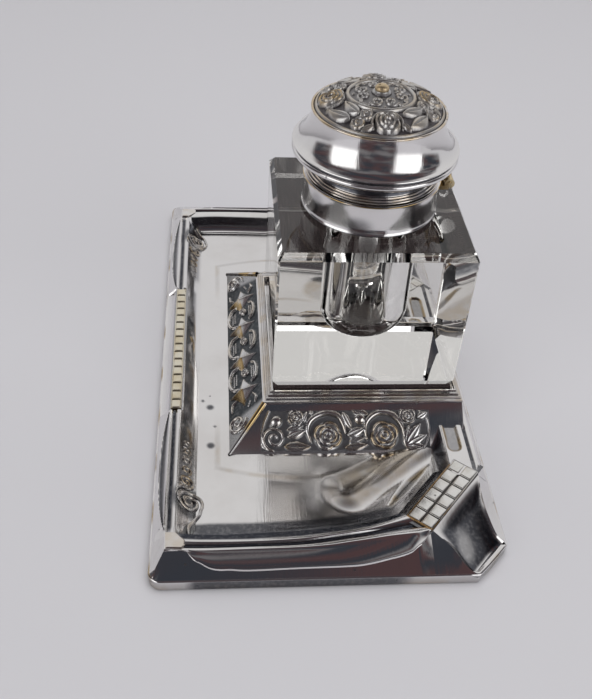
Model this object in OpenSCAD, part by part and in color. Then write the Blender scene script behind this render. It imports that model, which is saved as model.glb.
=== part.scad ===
// Desk inkstand: pressed tray, raised pedestal, glass inkwell that lifts out, hinged lid.
// Millimetres, +Z up. Origin on the table under the middle of the tray.
// +X runs along the long side, -Y is the front (pen) side, +Y is the back.

/* [Tray] */
// Length of the tray over its foot
tray_w = 195; // [180:1:215]
// Depth of the tray over its foot
tray_d = 105; // [98:1:115]
// Height of the rim crest above the table
rim_h = 8; // [7:0.1:9]
// Height of the tray floor above the table
floor_z = 2.6; // [2.4:0.1:3]
// Thickness of the pressed sheet
sheet_t = 0.9; // [0.7:0.05:1.1]
// Length of the slanting cut across each back corner, along X
ear_cut = 10.5; // [8:0.5:13]
// How far the end rims bow inwards towards the back
rim_bow = 7.5; // [5:0.5:8]

/* [Trim] */
// Number of tiles in the front ladder bar
ladder_tiles = 16; // [10:1:20]
// Pitch of the ladder tiles
ladder_pitch = 4.05; // [3.6:0.05:4.2]
// Number of tiles along each corner band
band_tiles = 6; // [4:1:7]
// Length of a corner tile band
band_len = 29; // [27:0.5:30]
// Width of a corner tile band
band_w = 8.6; // [7.5:0.1:8.6]

/* [Pedestal] */
// Half length of the pedestal at the tray floor
ped_foot_x = 49; // [46:0.5:52]
// Half length of the pedestal at its top
ped_top_x = 35.5; // [34:0.5:37]
// Height of the pedestal top above the table
ped_top_z = 12.6; // [12:0.1:13.2]
// How far the front slope of the pedestal runs forward
ped_slope_y = 9.4; // [8:0.2:10]

/* [Inkwell] */
// Side of the square glass block
glass_side = 60.5; // [56:0.5:61]
// Height of the glass block above its seat
glass_h = 53.1; // [48:0.1:56]
// Width of the polished chamfers on the glass
glass_bevel = 2; // [1:0.25:2.5]
// Diameter of the ink cavity
cavity_d = 29; // [24:0.5:30]
// Depth of the ink cavity below the top of the block
cavity_depth = 42.5; // [36:0.5:45]
// Distance of the inkwell axis behind the middle of the tray
well_y = 15.25; // [14.75:0.25:15.75]

/* [Collar and lid] */
// Radius of the collar over its rolled rim
collar_r = 21.6; // [21.2:0.1:22]
// Height of the collar
collar_h = 10.4; // [10:0.1:10.8]
// Radius of the lid neck
neck_r = 18.7; // [18.2:0.1:19]
// Radius of the lid over its lower bead
bead_r = 25.5; // [25:0.1:26]
// Radius of the rim bead round the lid dome
dome_r = 20.2; // [19.8:0.1:20.6]
// How far the lid opens, in degrees
lid_open = 100; // [60:1:105]

/* [Hidden] */
$fn = 96;

silver = [0.80, 0.80, 0.82];
oxide = [0.38, 0.38, 0.40];
gilt = [0.78, 0.68, 0.46];

half_w = tray_w / 2;
half_d = tray_d / 2;
foot_z0 = 0.3;
foot_z1 = 2.5;
big = 300;

// Heights up the inkwell
seat_z = 14;
pad_gap = 0.2;
glass_top = seat_z + glass_h;
stub_r = 17.5;
stub_top = glass_top + 9;
collar_z0 = glass_top + 0.9;
collar_z1 = collar_z0 + collar_h;
collar_in = 19.6;
lid_z0 = collar_z1 + 0.4;
bead_z = lid_z0 + 8;
dome_z = lid_z0 + 20.6;
dome_rise = 5.2;

// Conical neck of the lid
neck_foot_r = neck_r + 1.6;
neck_waist_r = neck_r - 0.3;
neck_h = 3.2;

// Hinge at the back of the collar, axis along X
hinge_y = well_y + collar_r + 2;
hinge_z = collar_z1 - 1;
knuckle_r = 1.6;
pin_r = 0.75;
run_gap = 0.05;
knuckle_half = 5.6;
lid_knuckle_half = 1.9;

// Plan of a corner tile band: inner near corner and direction
band_x = 78.8;
band_y = 23.1;
band_turn = 140;

// Pedestal plan in Y
ped_back_y = 48.2;
ped_front_top = -20;
ped_front_foot = ped_front_top - ped_slope_y;

// Point on the line between a and b
function mix(a, b, t) = a + (b - a) * t;

// Inward bow of the end rim at a distance y along the tray
function bow(y) = let(u = max(0, min(1, (y + 30) / 60))) rim_bow * u * u;

// Extrudes a profile drawn as (inward distance, height) along +X
module run(len) {
    rotate([90, 0, 90])
        linear_extrude(len)
            children();
}

// Closed skin through a list of rings, each a list of points
module loft(rings) {
    n = len(rings[0]);
    m = len(rings);
    points = [for (ring = rings) each ring];
    sides = [
        for (i = [0 : m - 2], j = [0 : n - 1])
            let(k = (j + 1) % n)
                [i * n + j, i * n + k, (i + 1) * n + k, (i + 1) * n + j]
    ];
    ends = [[for (j = [n - 1 : -1 : 0]) j], [for (j = [0 : n - 1]) (m - 1) * n + j]];
    polyhedron(points, concat(sides, ends), convexity = 6);
}

// Mirrored pair about the middle of the tray
module both_sides() {
    children();
    mirror([1, 0, 0])
        children();
}

// Plan outline of the foot, with rounded front corners and slanting back corners
module foot_plan(inset) {
    x = half_w - inset;
    y = half_d - inset;
    r = 4;
    union() {
        polygon([
            [-x, -y + r], [x, -y + r], [x, y - ear_cut], [x - ear_cut, y],
            [ear_cut - x, y], [-x, y - ear_cut]
        ]);
        translate([r - x, -y])
            square([2 * (x - r), r + 1]);
        for (s = [-1, 1])
            translate([s * (x - r), r - y])
                circle(r);
    }
}

// Concave curve of heights between two points, as (distance, height) pairs
function sag(d0, z0, d1, z1, power, n) =
    [for (i = [1 : n - 1]) let(u = i / n) [mix(d0, d1, u), z0 + (z1 - z0) * pow(u, power)]];

// Concave cove that drops from a crest to the floor
function cove(d0, z0, d1, z1, n) =
    [for (i = [1 : n - 1]) let(u = i / n) [mix(d0, d1, u), z1 + (z0 - z1) * pow(1 - u, 2)]];

// Underside of a rim, shared by all the rims: floor edge back out to the foot
function under_side(d_floor, d_end, d_crest, d_out) = [
    [d_end, floor_z - sheet_t], [d_floor, floor_z - sheet_t], [d_crest, rim_h - 1.9],
    [d_out, rim_h - 1.9], [1.9, foot_z1], [sheet_t, foot_z1 - 0.6], [sheet_t, foot_z0]
];

// Front rim between the ladder bar and a corner block: two flutes
flute_profile = concat(
    [[0, foot_z0], [0, foot_z1], [1, 3], [1.9, 6.4], [2.9, 7.7], [4.2, rim_h], [4.9, 7.6], [5.3, 7.2]],
    [[5.8, 7.2], [6.3, 7.7], [7, rim_h], [7.7, 7.6], [8.6, 6.4]],
    cove(8.6, 6.4, 13.4, floor_z, 4),
    [[13.4, floor_z], [16, floor_z]],
    under_side(12.2, 16, 7, 4.2)
);

// Front rim under the ladder bar: an outer slope up to a flat bed
ladder_profile = concat(
    [[0, foot_z0], [0, foot_z1], [1, 3]],
    sag(1, 3, 4, 7.1, 1.3, 4),
    [[4, 7.1], [7.9, 7.1], [8.6, 6.4]],
    cove(8.6, 6.4, 13.4, floor_z, 4),
    [[13.4, floor_z], [16, floor_z]],
    under_side(12.2, 16, 7, 5)
);

// Back rim: outer face, thin groove, broad crest and inner cove
back_profile = concat(
    [[0, foot_z0], [0, foot_z1], [0.9, 3], [2.5, 7.2], [3.1, 7.8], [4.2, 7.8], [4.6, 7.2], [5.2, 7.2]],
    [[5.6, rim_h], [12.8, rim_h]],
    cove(12.8, rim_h, 17.4, floor_z, 4),
    [[17.4, floor_z], [21, floor_z]],
    under_side(16, 21, 12, 6)
);

// Slanting rim that carries a tile band, from its outer edge to the floor
band_profile = concat(
    [[-band_w, 7.6], [0.2, 7.6], [0.6, 7.2]],
    cove(0.6, 7.2, 6, floor_z, 4),
    [[6, floor_z], [9, floor_z], [9, floor_z - sheet_t], [5.2, floor_z - sheet_t], [0, 5.9], [-band_w, 5.9]]
);

// One ring of the end rim at a distance y along the tray
function end_ring(y) = let(
    b = bow(y),
    f = half_w - 78.6 + 0.85 * b,
    a = half_w - 84 + b,
    o = half_w - 90.4 + b,
    outline = concat(
        [[0, foot_z0], [0, foot_z1], [0.5, 2.9], [1.3, 4.3], [2.1, 4.2]],
        sag(2.1, 4.2, o - 0.6, 7.6, 1.5, 4),
        [[o - 0.6, 7.6], [o, rim_h], [o + 0.9, rim_h], [o + 1.5, 7.3], [o + 3.1, 7.3]],
        [[o + 3.7, rim_h], [o + 5.4, rim_h], [a, 7.6]],
        cove(a, 7.6, f, floor_z, 4),
        [[f, floor_z], [f + 6, floor_z]],
        under_side(f - 1.2, f + 6, a - 0.8, o)
    )
) [for (p = outline) [half_w - p[0], y, p[1]]];

module end_rim() {
    loft([for (y = [-half_d : 8.25 : 30]) end_ring(y)]);
}

// Mitre between the front rim and an end rim, as a plan region
module end_region() {
    linear_extrude(30)
        polygon([
            [half_w + 4, -half_d - 3], [77, -38], [60, -26], [60, band_y + 5], [band_x - 4.8, 15.6],
            [band_x, band_y], [84.2, 29.6], [half_w + 4, 29.6]
        ]);
}

module front_region() {
    linear_extrude(30)
        polygon([[0, -half_d - 3], [half_w + 4, -half_d - 3], [77, -38], [0, -38 + 1.5]]);
}

// Region inside the foot outline, so that no rim stands past the corners
module inside_foot() {
    linear_extrude(30)
        foot_plan(0);
}

// Scooped back corner: a block that falls to the ear, hollowed like a spout
module corner_scoop() {
    difference() {
        hull() {
            translate([half_w - 16, 29.3, foot_z1])
                cube([16, 0.2, 0.4]);
            translate([half_w - 0.4, half_d - ear_cut - 0.6, foot_z1])
                cube([0.4, 0.4, 0.4]);
            translate([half_w - ear_cut - 0.5, half_d - 0.5, foot_z1])
                cube([0.4, 0.4, 0.4]);
            translate([60.6, half_d - 0.4, foot_z1])
                cube([0.4, 0.4, 0.4]);
            translate([84, 29.4, 7])
                cube([1.9, 0.3, 0.4]);
            translate([62, 48, 7])
                cube([0.3, 1.4, 0.4]);
            translate([95.5, 40.9, 4.2])
                cube([0.3, 0.3, 0.4]);
            translate([85.7, 50.6, 3.2])
                cube([0.3, 0.3, 0.4]);
        }
        // Room for the base board underneath
        translate([0, 0, foot_z0])
            linear_extrude(floor_z - sheet_t - foot_z0)
                intersection() {
                    foot_plan(sheet_t);
                    translate([55, 25])
                        square([45, 40]);
                }
        // Spout: a cone along the corner's diagonal, widest by the tiles
        translate([74.5, 40.5, 14.5])
            rotate([0, 94.5, 24])
                cylinder(r1 = 10.8, r2 = 9.8, h = 40);
        translate([76.5, 41.3, 15])
            sphere(11);
    }
}

// Foot wall and skirt under the corner scoops and round the whole tray
module foot_ring() {
    translate([0, 0, foot_z0])
        linear_extrude(foot_z1 + 0.3 - foot_z0)
            difference() {
                foot_plan(0);
                foot_plan(sheet_t);
            }
}

// Plan of the flat tray floor
module floor_plan() {
    polygon([
        [-77, -38.6], [77, -38.6], [77, 12], [band_x - 5, 17.5], [50.5, 38.2], [44, 36],
        [-44, 36], [-50.5, 38.2], [5 - band_x, 17.5], [-77, 12]
    ]);
}

// Soft swelling of the floor that runs up into the back corner
module corner_swell() {
    intersection() {
        hull() {
            translate([66.5, 3.4, floor_z - 3.2])
                sphere(4.4, $fn = 32);
            translate([60, 13.6, floor_z - 2.4])
                sphere(4.6, $fn = 32);
            translate([54, 23.6, floor_z - 0.8])
                sphere(3.2, $fn = 32);
        }
        translate([0, -20, floor_z - 0.5])
            cube([120, 80, 20]);
    }
}

module tray_shell() {
    color(silver)
        difference() {
            union() {
                both_sides() {
                    intersection() {
                        end_rim();
                        end_region();
                        inside_foot();
                    }
                    intersection() {
                        translate([0, -half_d, 0])
                            union() {
                                run(33)
                                    polygon(ladder_profile);
                                translate([33, 0, 0])
                                    run(half_w - 33)
                                        polygon(flute_profile);
                            }
                        front_region();
                        inside_foot();
                    }
                    // Back rim with a long recessed panel in its crest
                    difference() {
                        translate([0, half_d, 0])
                            mirror([0, 1, 0])
                                run(62.3)
                                    polygon(back_profile);
                        translate([36, half_d - 11.4, rim_h - 0.7])
                            cube([16.4, 3.8, 2]);
                        translate([52.4, half_d - 9.5, rim_h - 0.7])
                            cylinder(r = 1.9, h = 2, $fn = 48);
                        translate([band_x, band_y, -1])
                            rotate([0, 0, band_turn])
                                translate([-5, -0.01, 0])
                                    cube([band_len + 20, 30, 30]);
                    }
                    translate([band_x, band_y, 0])
                        rotate([0, 0, band_turn])
                            run(band_len + 0.8)
                                polygon(band_profile);
                    corner_scoop();
                    corner_swell();
                }
                foot_ring();
                translate([0, 0, floor_z - sheet_t])
                    linear_extrude(sheet_t)
                        floor_plan();
                // Raised plinth round the foot of the pedestal
                translate([0, 0, floor_z])
                    linear_extrude(0.5)
                        translate([-60, ped_front_foot - 2])
                            square([120, 50]);
            }
            pedestal_solid(0);
            both_sides() {
                corner_block_solid();
                tile_bed();
            }
        }
}

// Pedestal block: mitred slopes at the front and both ends, upright at the back
module pedestal_solid(inset) {
    k = inset * 1.3;
    low = floor_z - sheet_t - 1;
    rise = ped_top_z - floor_z;
    down = (floor_z - low) / rise;
    fx = mix(ped_foot_x, ped_foot_x + (ped_foot_x - ped_top_x), down) - k;
    fy = mix(ped_front_foot, ped_front_foot - ped_slope_y, down) + k;
    intersection() {
        translate([0, ped_back_y - inset, 0])
            rotate([90, 0, 0])
                linear_extrude(ped_back_y - fy + 1)
                    polygon([
                        [-fx, low], [fx, low], [ped_top_x - k, ped_top_z - inset],
                        [k - ped_top_x, ped_top_z - inset]
                    ]);
        translate([-70, 0, 0])
            run(140)
                polygon([
                    [fy, low], [ped_back_y - inset, low], [ped_back_y - inset, ped_top_z - inset],
                    [ped_front_top + k, ped_top_z - inset]
                ]);
    }
}

module pedestal_shell() {
    color(silver)
        difference() {
            intersection() {
                pedestal_solid(0);
                translate([-80, -60, floor_z - sheet_t])
                    cube([160, 130, 30]);
            }
            pedestal_solid(1);
        }
}

module base_board() {
    color("saddlebrown")
        difference() {
            translate([0, 0, 0.8])
                linear_extrude(floor_z - sheet_t - 0.8)
                    foot_plan(2.2);
            for (s = screw_spots())
                translate([s[0], s[1], 0])
                    cylinder(r = 1.1, h = 10, $fn = 32);
        }
}

module base_felt() {
    color("darkolivegreen")
        linear_extrude(0.8)
            foot_plan(3);
}

function screw_spots() = [for (sx = [-1, 1], sy = [-1, 1]) [sx * 66, sy * 33 - 5]];

module board_screws() {
    color(gilt)
        for (s = screw_spots())
            translate([s[0], s[1], 0.8])
                cylinder(r = 1.1, h = floor_z - sheet_t - 0.8, $fn = 32);
}

// Moulded frame on top of the pedestal, open where the glass stands
module seat_frame() {
    inner = glass_side / 2 + 0.4;
    y0 = ped_front_top;
    color(silver)
        difference() {
            union() {
                translate([-ped_top_x, y0, ped_top_z])
                    cube([2 * ped_top_x, ped_back_y - y0, 0.7]);
                translate([-33.8, y0 + 2.6, ped_top_z])
                    cube([67.6, ped_back_y - y0 - 3, 1.4]);
                translate([-32.3, y0 + 3.4, ped_top_z])
                    cube([64.6, ped_back_y - y0 - 3.8, 2]);
            }
            translate([-inner, well_y - inner, 0])
                cube([2 * inner, 2 * inner, 40]);
        }
}

module seat_pad() {
    s = glass_side - 1;
    color("dimgray")
        translate([-s / 2, well_y - s / 2, ped_top_z])
            cube([s, s, seat_z - pad_gap - ped_top_z]);
}

module ladder_bar() {
    w = ladder_tiles * ladder_pitch;
    color(gilt)
        translate([-w / 2, -half_d + 4.2, 7.1])
            difference() {
                cube([w, 3.5, 0.9]);
                for (i = [1 : ladder_tiles - 1])
                    translate([i * ladder_pitch - 0.25, -1, 0.5])
                        cube([0.5, 6, 1]);
            }
}

// Flat block on a front corner, its inner corner cut off
module corner_block_solid() {
    translate([0, 0, 7])
        linear_extrude(1.3)
            polygon([
                [83.3, -47.9], [89.2, -47.9], [89.2, -42.2], [87, -42.2], [83.3, -45.2]
            ]);
}

module right_corner_block() {
    color(gilt)
        corner_block_solid();
}

module left_corner_block() {
    mirror([1, 0, 0])
        right_corner_block();
}

// Room that a tile band takes up in the corner of the tray
module tile_bed() {
    translate([band_x, band_y, 7.4])
        rotate([0, 0, band_turn])
            translate([-0.05, -band_w - 0.05, 0])
                cube([band_len + 0.1, band_w + 0.1, 2]);
}

// Corner band: a thin plate with two rows of square tiles
module tile_band() {
    pitch = band_len / band_tiles;
    row = band_w / 2;
    color(silver)
        translate([band_x, band_y, 7.4])
            rotate([0, 0, band_turn])
                difference() {
                    translate([0, -band_w, 0])
                        cube([band_len, band_w, 0.9]);
                    for (i = [1 : band_tiles - 1])
                        translate([i * pitch - 0.3, -band_w - 1, 0.45])
                            cube([0.6, band_w + 2, 1]);
                    translate([-1, -row - 0.3, 0.45])
                        cube([band_len + 2, 0.6, 1]);
                }
}

module right_tile_band() {
    tile_band();
}

module left_tile_band() {
    mirror([1, 0, 0])
        tile_band();
}

// Scroll relief on the inner slope of the front rim: a large coil and a row of smaller ones
module scroll_relief() {
    slope = atan2(6.9 - floor_z, 6.4);
    color(oxide)
        translate([0, -half_d, 0])
            union() {
                translate([33, 0, 0])
                    run(43)
                        polygon(concat(
                            [[9, 6.8], [8.6, 6.4]],
                            cove(8.6, 6.4, 13.4, floor_z, 4),
                            [[13.4, floor_z], [15.4, floor_z], [15.4, floor_z + 0.4]]
                        ));
                for (c = [[71, 3.7, 3.6], [63.4, 3, 2.4], [58.4, 2.8, 2], [54.2, 2.6, 1.7], [50.6, 2.5, 1.5]])
                    translate([c[0], 15.4, floor_z + 0.4])
                        rotate([-slope, 0, 0])
                            translate([0, -c[1], -0.1])
                                coil(c[2]);
            }
}

module right_scroll_relief() {
    scroll_relief();
}

module left_scroll_relief() {
    mirror([1, 0, 0])
        scroll_relief();
}

// Slope frames: local +Y runs up the slope, local +Z stands out of it
end_slope = atan2(ped_top_z - floor_z, ped_foot_x - ped_top_x);
front_slope = atan2(ped_top_z - floor_z, ped_slope_y);

// Keeps what stands above the plane of a panel
module above_panel() {
    intersection() {
        children();
        translate([-60, -20, 0])
            cube([120, 60, 10]);
    }
}

// One open rose: stacked rings of petals round a bud
module rose(r) {
    union() {
        cylinder(r = r, h = 0.55, $fn = 48);
        for (k = [0.85, 0.5])
            translate([0, 0, 0.4])
                rotate_extrude($fn = 48)
                    translate([r * k, 0])
                        circle(0.42, $fn = 16);
        translate([0, 0, 0.3])
            sphere(r * 0.24, $fn = 32);
    }
}

// A coil of the border scroll
module coil(r) {
    union() {
        cylinder(r = r, h = 0.5, $fn = 48);
        translate([0, 0, 0.5])
            rotate_extrude($fn = 48)
                translate([r - 0.5, 0])
                    circle(0.4, $fn = 16);
        translate([0, 0, 0.4])
            sphere(r * 0.3, $fn = 32);
    }
}

// Rose panel on an end slope: plate, two roses, coil and buds
module rose_panel() {
    len = 54;
    up = 12.6;
    color(oxide)
        translate([ped_foot_x, 0, floor_z])
            rotate([0, -90 + end_slope, 0])
                rotate([0, 90, 0])
                    rotate([0, 0, 90])
                        translate([-18, 2.2, 0])
                            above_panel() {
                                cube([len, up, 0.5]);
                                for (x = [20, 38.6])
                                    translate([x, 4.4, 0.4])
                                        rose(4);
                                translate([3.8, 4, 0.4])
                                    coil(3.2);
                                for (p = [[5, 9.6], [11, 9.8], [29.4, 9.8], [46.5, 10], [30, 3.4], [50, 4]])
                                    translate([p[0], p[1], 0.1])
                                        sphere(1.5, $fn = 32);
                            }
}

module right_rose_panel() {
    rose_panel();
}

module left_rose_panel() {
    mirror([1, 0, 0])
        rose_panel();
}

// Flower panel on the front slope: plate, coils at the ends, four fan flowers
module front_flower_panel() {
    up = 11.6;
    color(oxide)
        translate([0, ped_front_foot, floor_z])
            rotate([front_slope, 0, 0])
                translate([0, 1.2, 0])
                    above_panel() {
                        translate([-38, 0, 0])
                            cube([76, up, 0.5]);
                        for (s = [-1, 1])
                            translate([s * 34.6, 3.4, 0.4])
                                coil(3);
                        for (i = [0 : 3])
                            translate([-24 + 16 * i, 5.6, 0.4])
                                union() {
                                    rotate([0, 0, 45])
                                        translate([-2.2, -2.2, 0])
                                            cube([4.4, 4.4, 0.5]);
                                    translate([0, 0, 0.1])
                                        sphere(1.4, $fn = 32);
                                }
                    }
}

// Square block with chamfered edges
module chamfered_block(side, height, bevel) {
    h = side / 2;
    outline = [
        [bevel - h, 0], [h - bevel, 0], [h, bevel], [h, height - bevel], [h - bevel, height],
        [bevel - h, height], [-h, height - bevel], [-h, bevel]
    ];
    intersection() {
        translate([0, h, 0])
            rotate([90, 0, 0])
                linear_extrude(side)
                    polygon(outline);
        translate([-h, 0, 0])
            run(side)
                polygon(outline);
        linear_extrude(height)
            polygon([
                [1 - h, -h], [h - 1, -h], [h, 1 - h], [h, h - 1],
                [h - 1, h], [1 - h, h], [-h, h - 1], [-h, 1 - h]
            ]);
    }
}

module glass_block() {
    r = cavity_d / 2;
    corner = 12;
    bottom = glass_top - cavity_depth;
    color([0.85, 0.93, 0.9, 0.4])
        translate([0, well_y, 0])
            difference() {
                union() {
                    translate([0, 0, seat_z])
                        chamfered_block(glass_side, glass_h, glass_bevel);
                    translate([0, 0, glass_top - 1])
                        cylinder(r = stub_r, h = stub_top - glass_top + 1);
                }
                rotate_extrude()
                    polygon(concat(
                        [[0, bottom]],
                        [
                            for (a = [-90 : 10 : 0])
                                [r - corner + corner * cos(a), bottom + corner + corner * sin(a)]
                        ],
                        [[r, stub_top + 1], [0, stub_top + 1]]
                    ));
            }
}

module cement_ring() {
    color("ivory")
        translate([0, well_y, glass_top])
            difference() {
                cylinder(r = collar_in, h = 6.4);
                translate([0, 0, -1])
                    cylinder(r = stub_r, h = 10);
            }
}

module collar_sleeve() {
    z1 = collar_z1 - 1.5;
    color(silver)
        translate([0, well_y, 0])
            rotate_extrude()
                polygon([
                    [collar_in, collar_z0], [collar_r, collar_z0], [collar_r, collar_z0 + 0.5],
                    [21, collar_z0 + 1], [20.6, collar_z0 + 3], [20.6, z1 - 1.6], [21, z1 - 0.3],
                    [21, z1], [collar_in, z1]
                ]);
}

module collar_rim() {
    color(gilt)
        translate([0, well_y, 0])
            rotate_extrude()
                polygon([
                    [collar_in, collar_z1 - 1.5], [21, collar_z1 - 1.5], [collar_r - 0.2, collar_z1 - 1.2],
                    [collar_r, collar_z1 - 0.8], [collar_r - 0.2, collar_z1 - 0.3],
                    [collar_r - 0.8, collar_z1], [collar_in, collar_z1]
                ]);
}

module hinge_barrel(half_len, from, bore) {
    difference() {
        translate([from, hinge_y, hinge_z])
            rotate([0, 90, 0])
                cylinder(r = knuckle_r, h = half_len);
        translate([from - 1, hinge_y, hinge_z])
            rotate([0, 90, 0])
                cylinder(r = bore, h = half_len + 2);
    }
}

module collar_knuckles() {
    len = knuckle_half - 2.2;
    color(gilt)
        both_sides() {
            hinge_barrel(len, 2.2, pin_r + 0.01);
            difference() {
                translate([2.2, well_y + 19.9, collar_z1 - 3])
                    cube([len, hinge_y - well_y - 19.9, 1.3]);
                translate([0, well_y, 0])
                    cylinder(r = 21.05, h = 200);
                translate([0, hinge_y, hinge_z])
                    rotate([0, 90, 0])
                        cylinder(r = pin_r + 0.01, h = 30);
            }
        }
}

module hinge_pin() {
    color(gilt)
        translate([-knuckle_half - 0.3, hinge_y, hinge_z])
            rotate([0, 90, 0])
                cylinder(r = pin_r, h = 2 * knuckle_half + 0.6, $fn = 48);
}

module lid_knuckle() {
    w = 2 * lid_knuckle_half;
    color(gilt)
        difference() {
            union() {
                hinge_barrel(w, -lid_knuckle_half, pin_r + run_gap);
                translate([-lid_knuckle_half, hinge_y - 1.1, hinge_z])
                    cube([w, 2.2, 3.2]);
                translate([-lid_knuckle_half, well_y + neck_r - 0.4, lid_z0 + 0.2])
                    cube([w, hinge_y - well_y - neck_r + 1.5, 1.6]);
            }
            translate([-10, hinge_y, hinge_z])
                rotate([0, 90, 0])
                    cylinder(r = pin_r + run_gap, h = 20);
            translate([0, well_y, lid_z0])
                cylinder(r1 = neck_foot_r, r2 = neck_waist_r, h = neck_h);
        }
}

// Hollow line that rises from the foot (r0, z0) and steepens up to the top (r1, z1)
function hollow_wall(r0, z0, r1, z1) = [
    for (a = [90 : -6 : 0]) [r0 - (r0 - r1) * pow(cos(a), 1.2), z1 - (z1 - z0) * pow(sin(a), 1.2)]
];

// Spun lid wall: conical neck, flare, lower bead, groove, thin flange, hollow wall and rim bead
module lid_shell() {
    t = 0.9;
    bead = 0.95;
    outside = hollow_wall(bead_r - 0.2, bead_z + 2.2, dome_r - 0.3, dome_z - 0.5);
    inside = hollow_wall(bead_r - 1.9, bead_z + 1.4, dome_r - 1.2, dome_z - 1.2);
    color(silver)
        translate([0, well_y, 0])
            rotate_extrude()
                polygon(concat(
                    [[neck_r - t, lid_z0], [neck_foot_r, lid_z0], [neck_waist_r, lid_z0 + neck_h]],
                    [
                        for (a = [-60 : 30 : 90])
                            [bead_r - bead + bead * cos(a), bead_z - 0.1 + bead * sin(a)]
                    ],
                    [[bead_r - bead, bead_z + 1.4], [bead_r - 0.1, bead_z + 1.8], [bead_r, bead_z + 2.05]],
                    outside,
                    [[dome_r - 0.2, dome_z], [dome_r - 0.8, dome_z + 0.3], [dome_r - 1.4, dome_z]],
                    [[dome_r - 1.6, dome_z - 1.2]],
                    [for (i = [len(inside) - 1 : -1 : 0]) inside[i]],
                    [[bead_r - 1.9, bead_z - 0.4], [neck_r - t, lid_z0 + 4.8]]
                ));
}

// Height of the dome at a radius
function dome_top(r) = dome_z + dome_rise * (1 - pow(r / dome_r, 2));

// Profile of the dome from the middle out, lowered by drop
function dome_line(drop) =
    [for (i = [0 : 12]) let(r = (dome_r - 1.7) * i / 12) [r, dome_top(r) - drop]];

module lid_dome() {
    under = dome_line(1.1);
    color(oxide)
        translate([0, well_y, 0])
            union() {
                rotate_extrude()
                    polygon(concat(dome_line(0.3), [for (i = [12 : -1 : 0]) under[i]]));
                for (r = [10, 4.4])
                    rotate_extrude()
                        translate([r, dome_top(r) - 0.4])
                            circle(0.5, $fn = 16);
            }
}

module lid_roses() {
    color(gilt)
        translate([0, well_y, 0])
            difference() {
                for (a = [0 : 90 : 270])
                    rotate([0, 0, a])
                        translate([14.4, 0, dome_top(14.4) - 1.6])
                            sphere(3.1, $fn = 48);
                rotate_extrude()
                    polygon(concat(dome_line(0.3), [[dome_r, dome_z - 8], [0, dome_z - 8]]));
                rotate_extrude()
                    translate([10, dome_top(10) - 0.4])
                        circle(0.5, $fn = 16);
            }
}

// Small collar on the dome with a round knob on it
module lid_boss() {
    color(gilt)
        translate([0, well_y, dome_top(0) - 0.3])
            union() {
                cylinder(r = 3, h = 0.5);
                difference() {
                    translate([0, 0, 0.65])
                        sphere(2.05, $fn = 64);
                    translate([0, 0, -5])
                        cylinder(r = 3, h = 5);
                }
            }
}

// Plug under the lid: a plate in the neck and a skirt that enters the collar
module lid_plug() {
    r = neck_r - 0.9;
    color(silver)
        translate([0, well_y, lid_z0])
            union() {
                translate([0, 0, 0.6])
                    cylinder(r = r, h = 0.9);
                translate([0, 0, -2])
                    difference() {
                        cylinder(r = r, h = 2.7);
                        translate([0, 0, -1])
                            cylinder(r = r - 0.9, h = 5);
                    }
            }
}

tray_shell();
base_board();
base_felt();
board_screws();
pedestal_shell();
seat_frame();
seat_pad();
ladder_bar();
left_corner_block();
right_corner_block();
left_tile_band();
right_tile_band();
left_scroll_relief();
right_scroll_relief();
front_flower_panel();
left_rose_panel();
right_rose_panel();
glass_block();
cement_ring();
collar_sleeve();
collar_rim();
collar_knuckles();
hinge_pin();
lid_knuckle();
lid_shell();
lid_dome();
lid_roses();
lid_boss();
lid_plug();
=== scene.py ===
"""Desk inkstand: pressed silver-plated tray, relief trim, glass well and hinged lid."""
import logging
import math
from contextlib import contextmanager
from dataclasses import dataclass, field
from enum import Enum
from typing import Callable, Iterator, Sequence

import bpy
import numpy as np
from mathutils import Matrix, Vector


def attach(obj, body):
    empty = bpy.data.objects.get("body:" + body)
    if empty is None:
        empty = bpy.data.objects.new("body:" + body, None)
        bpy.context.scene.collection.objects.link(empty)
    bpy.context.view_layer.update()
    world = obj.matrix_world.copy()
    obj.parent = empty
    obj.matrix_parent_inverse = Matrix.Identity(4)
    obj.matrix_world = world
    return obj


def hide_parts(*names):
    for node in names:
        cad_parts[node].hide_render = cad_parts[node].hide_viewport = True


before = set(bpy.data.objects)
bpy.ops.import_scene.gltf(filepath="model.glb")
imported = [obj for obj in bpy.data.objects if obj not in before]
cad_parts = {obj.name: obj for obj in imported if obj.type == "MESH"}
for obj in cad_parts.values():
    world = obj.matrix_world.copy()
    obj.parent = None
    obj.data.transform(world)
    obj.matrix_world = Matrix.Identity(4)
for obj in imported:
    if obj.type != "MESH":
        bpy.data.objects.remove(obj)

MM = 0.001
HALF_LENGTH = 97.5
HALF_DEPTH = 52.5
CORNER = 4.0  # radius of the foot's front corners
FLOOR = 2.6  # the tray's floor
FOOT_TOP = 4.0  # where the upright foot ends and the rims begin
TUCK = 0.35  # how far a rim's inner edge runs under the floor
WELL_Y = 15.25  # where the well's upright axis stands
UP = (0.0, 0.0, 1.0)

Array = np.ndarray
Piece = bpy.types.Object
Material = bpy.types.Material
Tree = bpy.types.NodeTree
Node = bpy.types.Node
Socket = bpy.types.NodeSocket
Sockets = bpy.types.bpy_prop_collection
Point = tuple[float, float]
Place = tuple[float, float, float]
Colour = tuple[float, float, float]
Row = tuple[Array, ...]
log = logging.getLogger("inkstand")


class Hand(Enum):
    """Which way a spiral turns, seen from above the relief."""

    LEFT = 1.0
    RIGHT = -1.0


class Rides(Enum):
    """The bodies of the inkstand."""

    BASE = "base"
    WELL = "inkwell"
    LID = "lid"


# ---------------------------------------------------------------- bench tools


def deselect() -> None:
    """Leaves every object unselected, the CAD nodes too."""
    bpy.ops.object.select_all(action="DESELECT")


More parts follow.
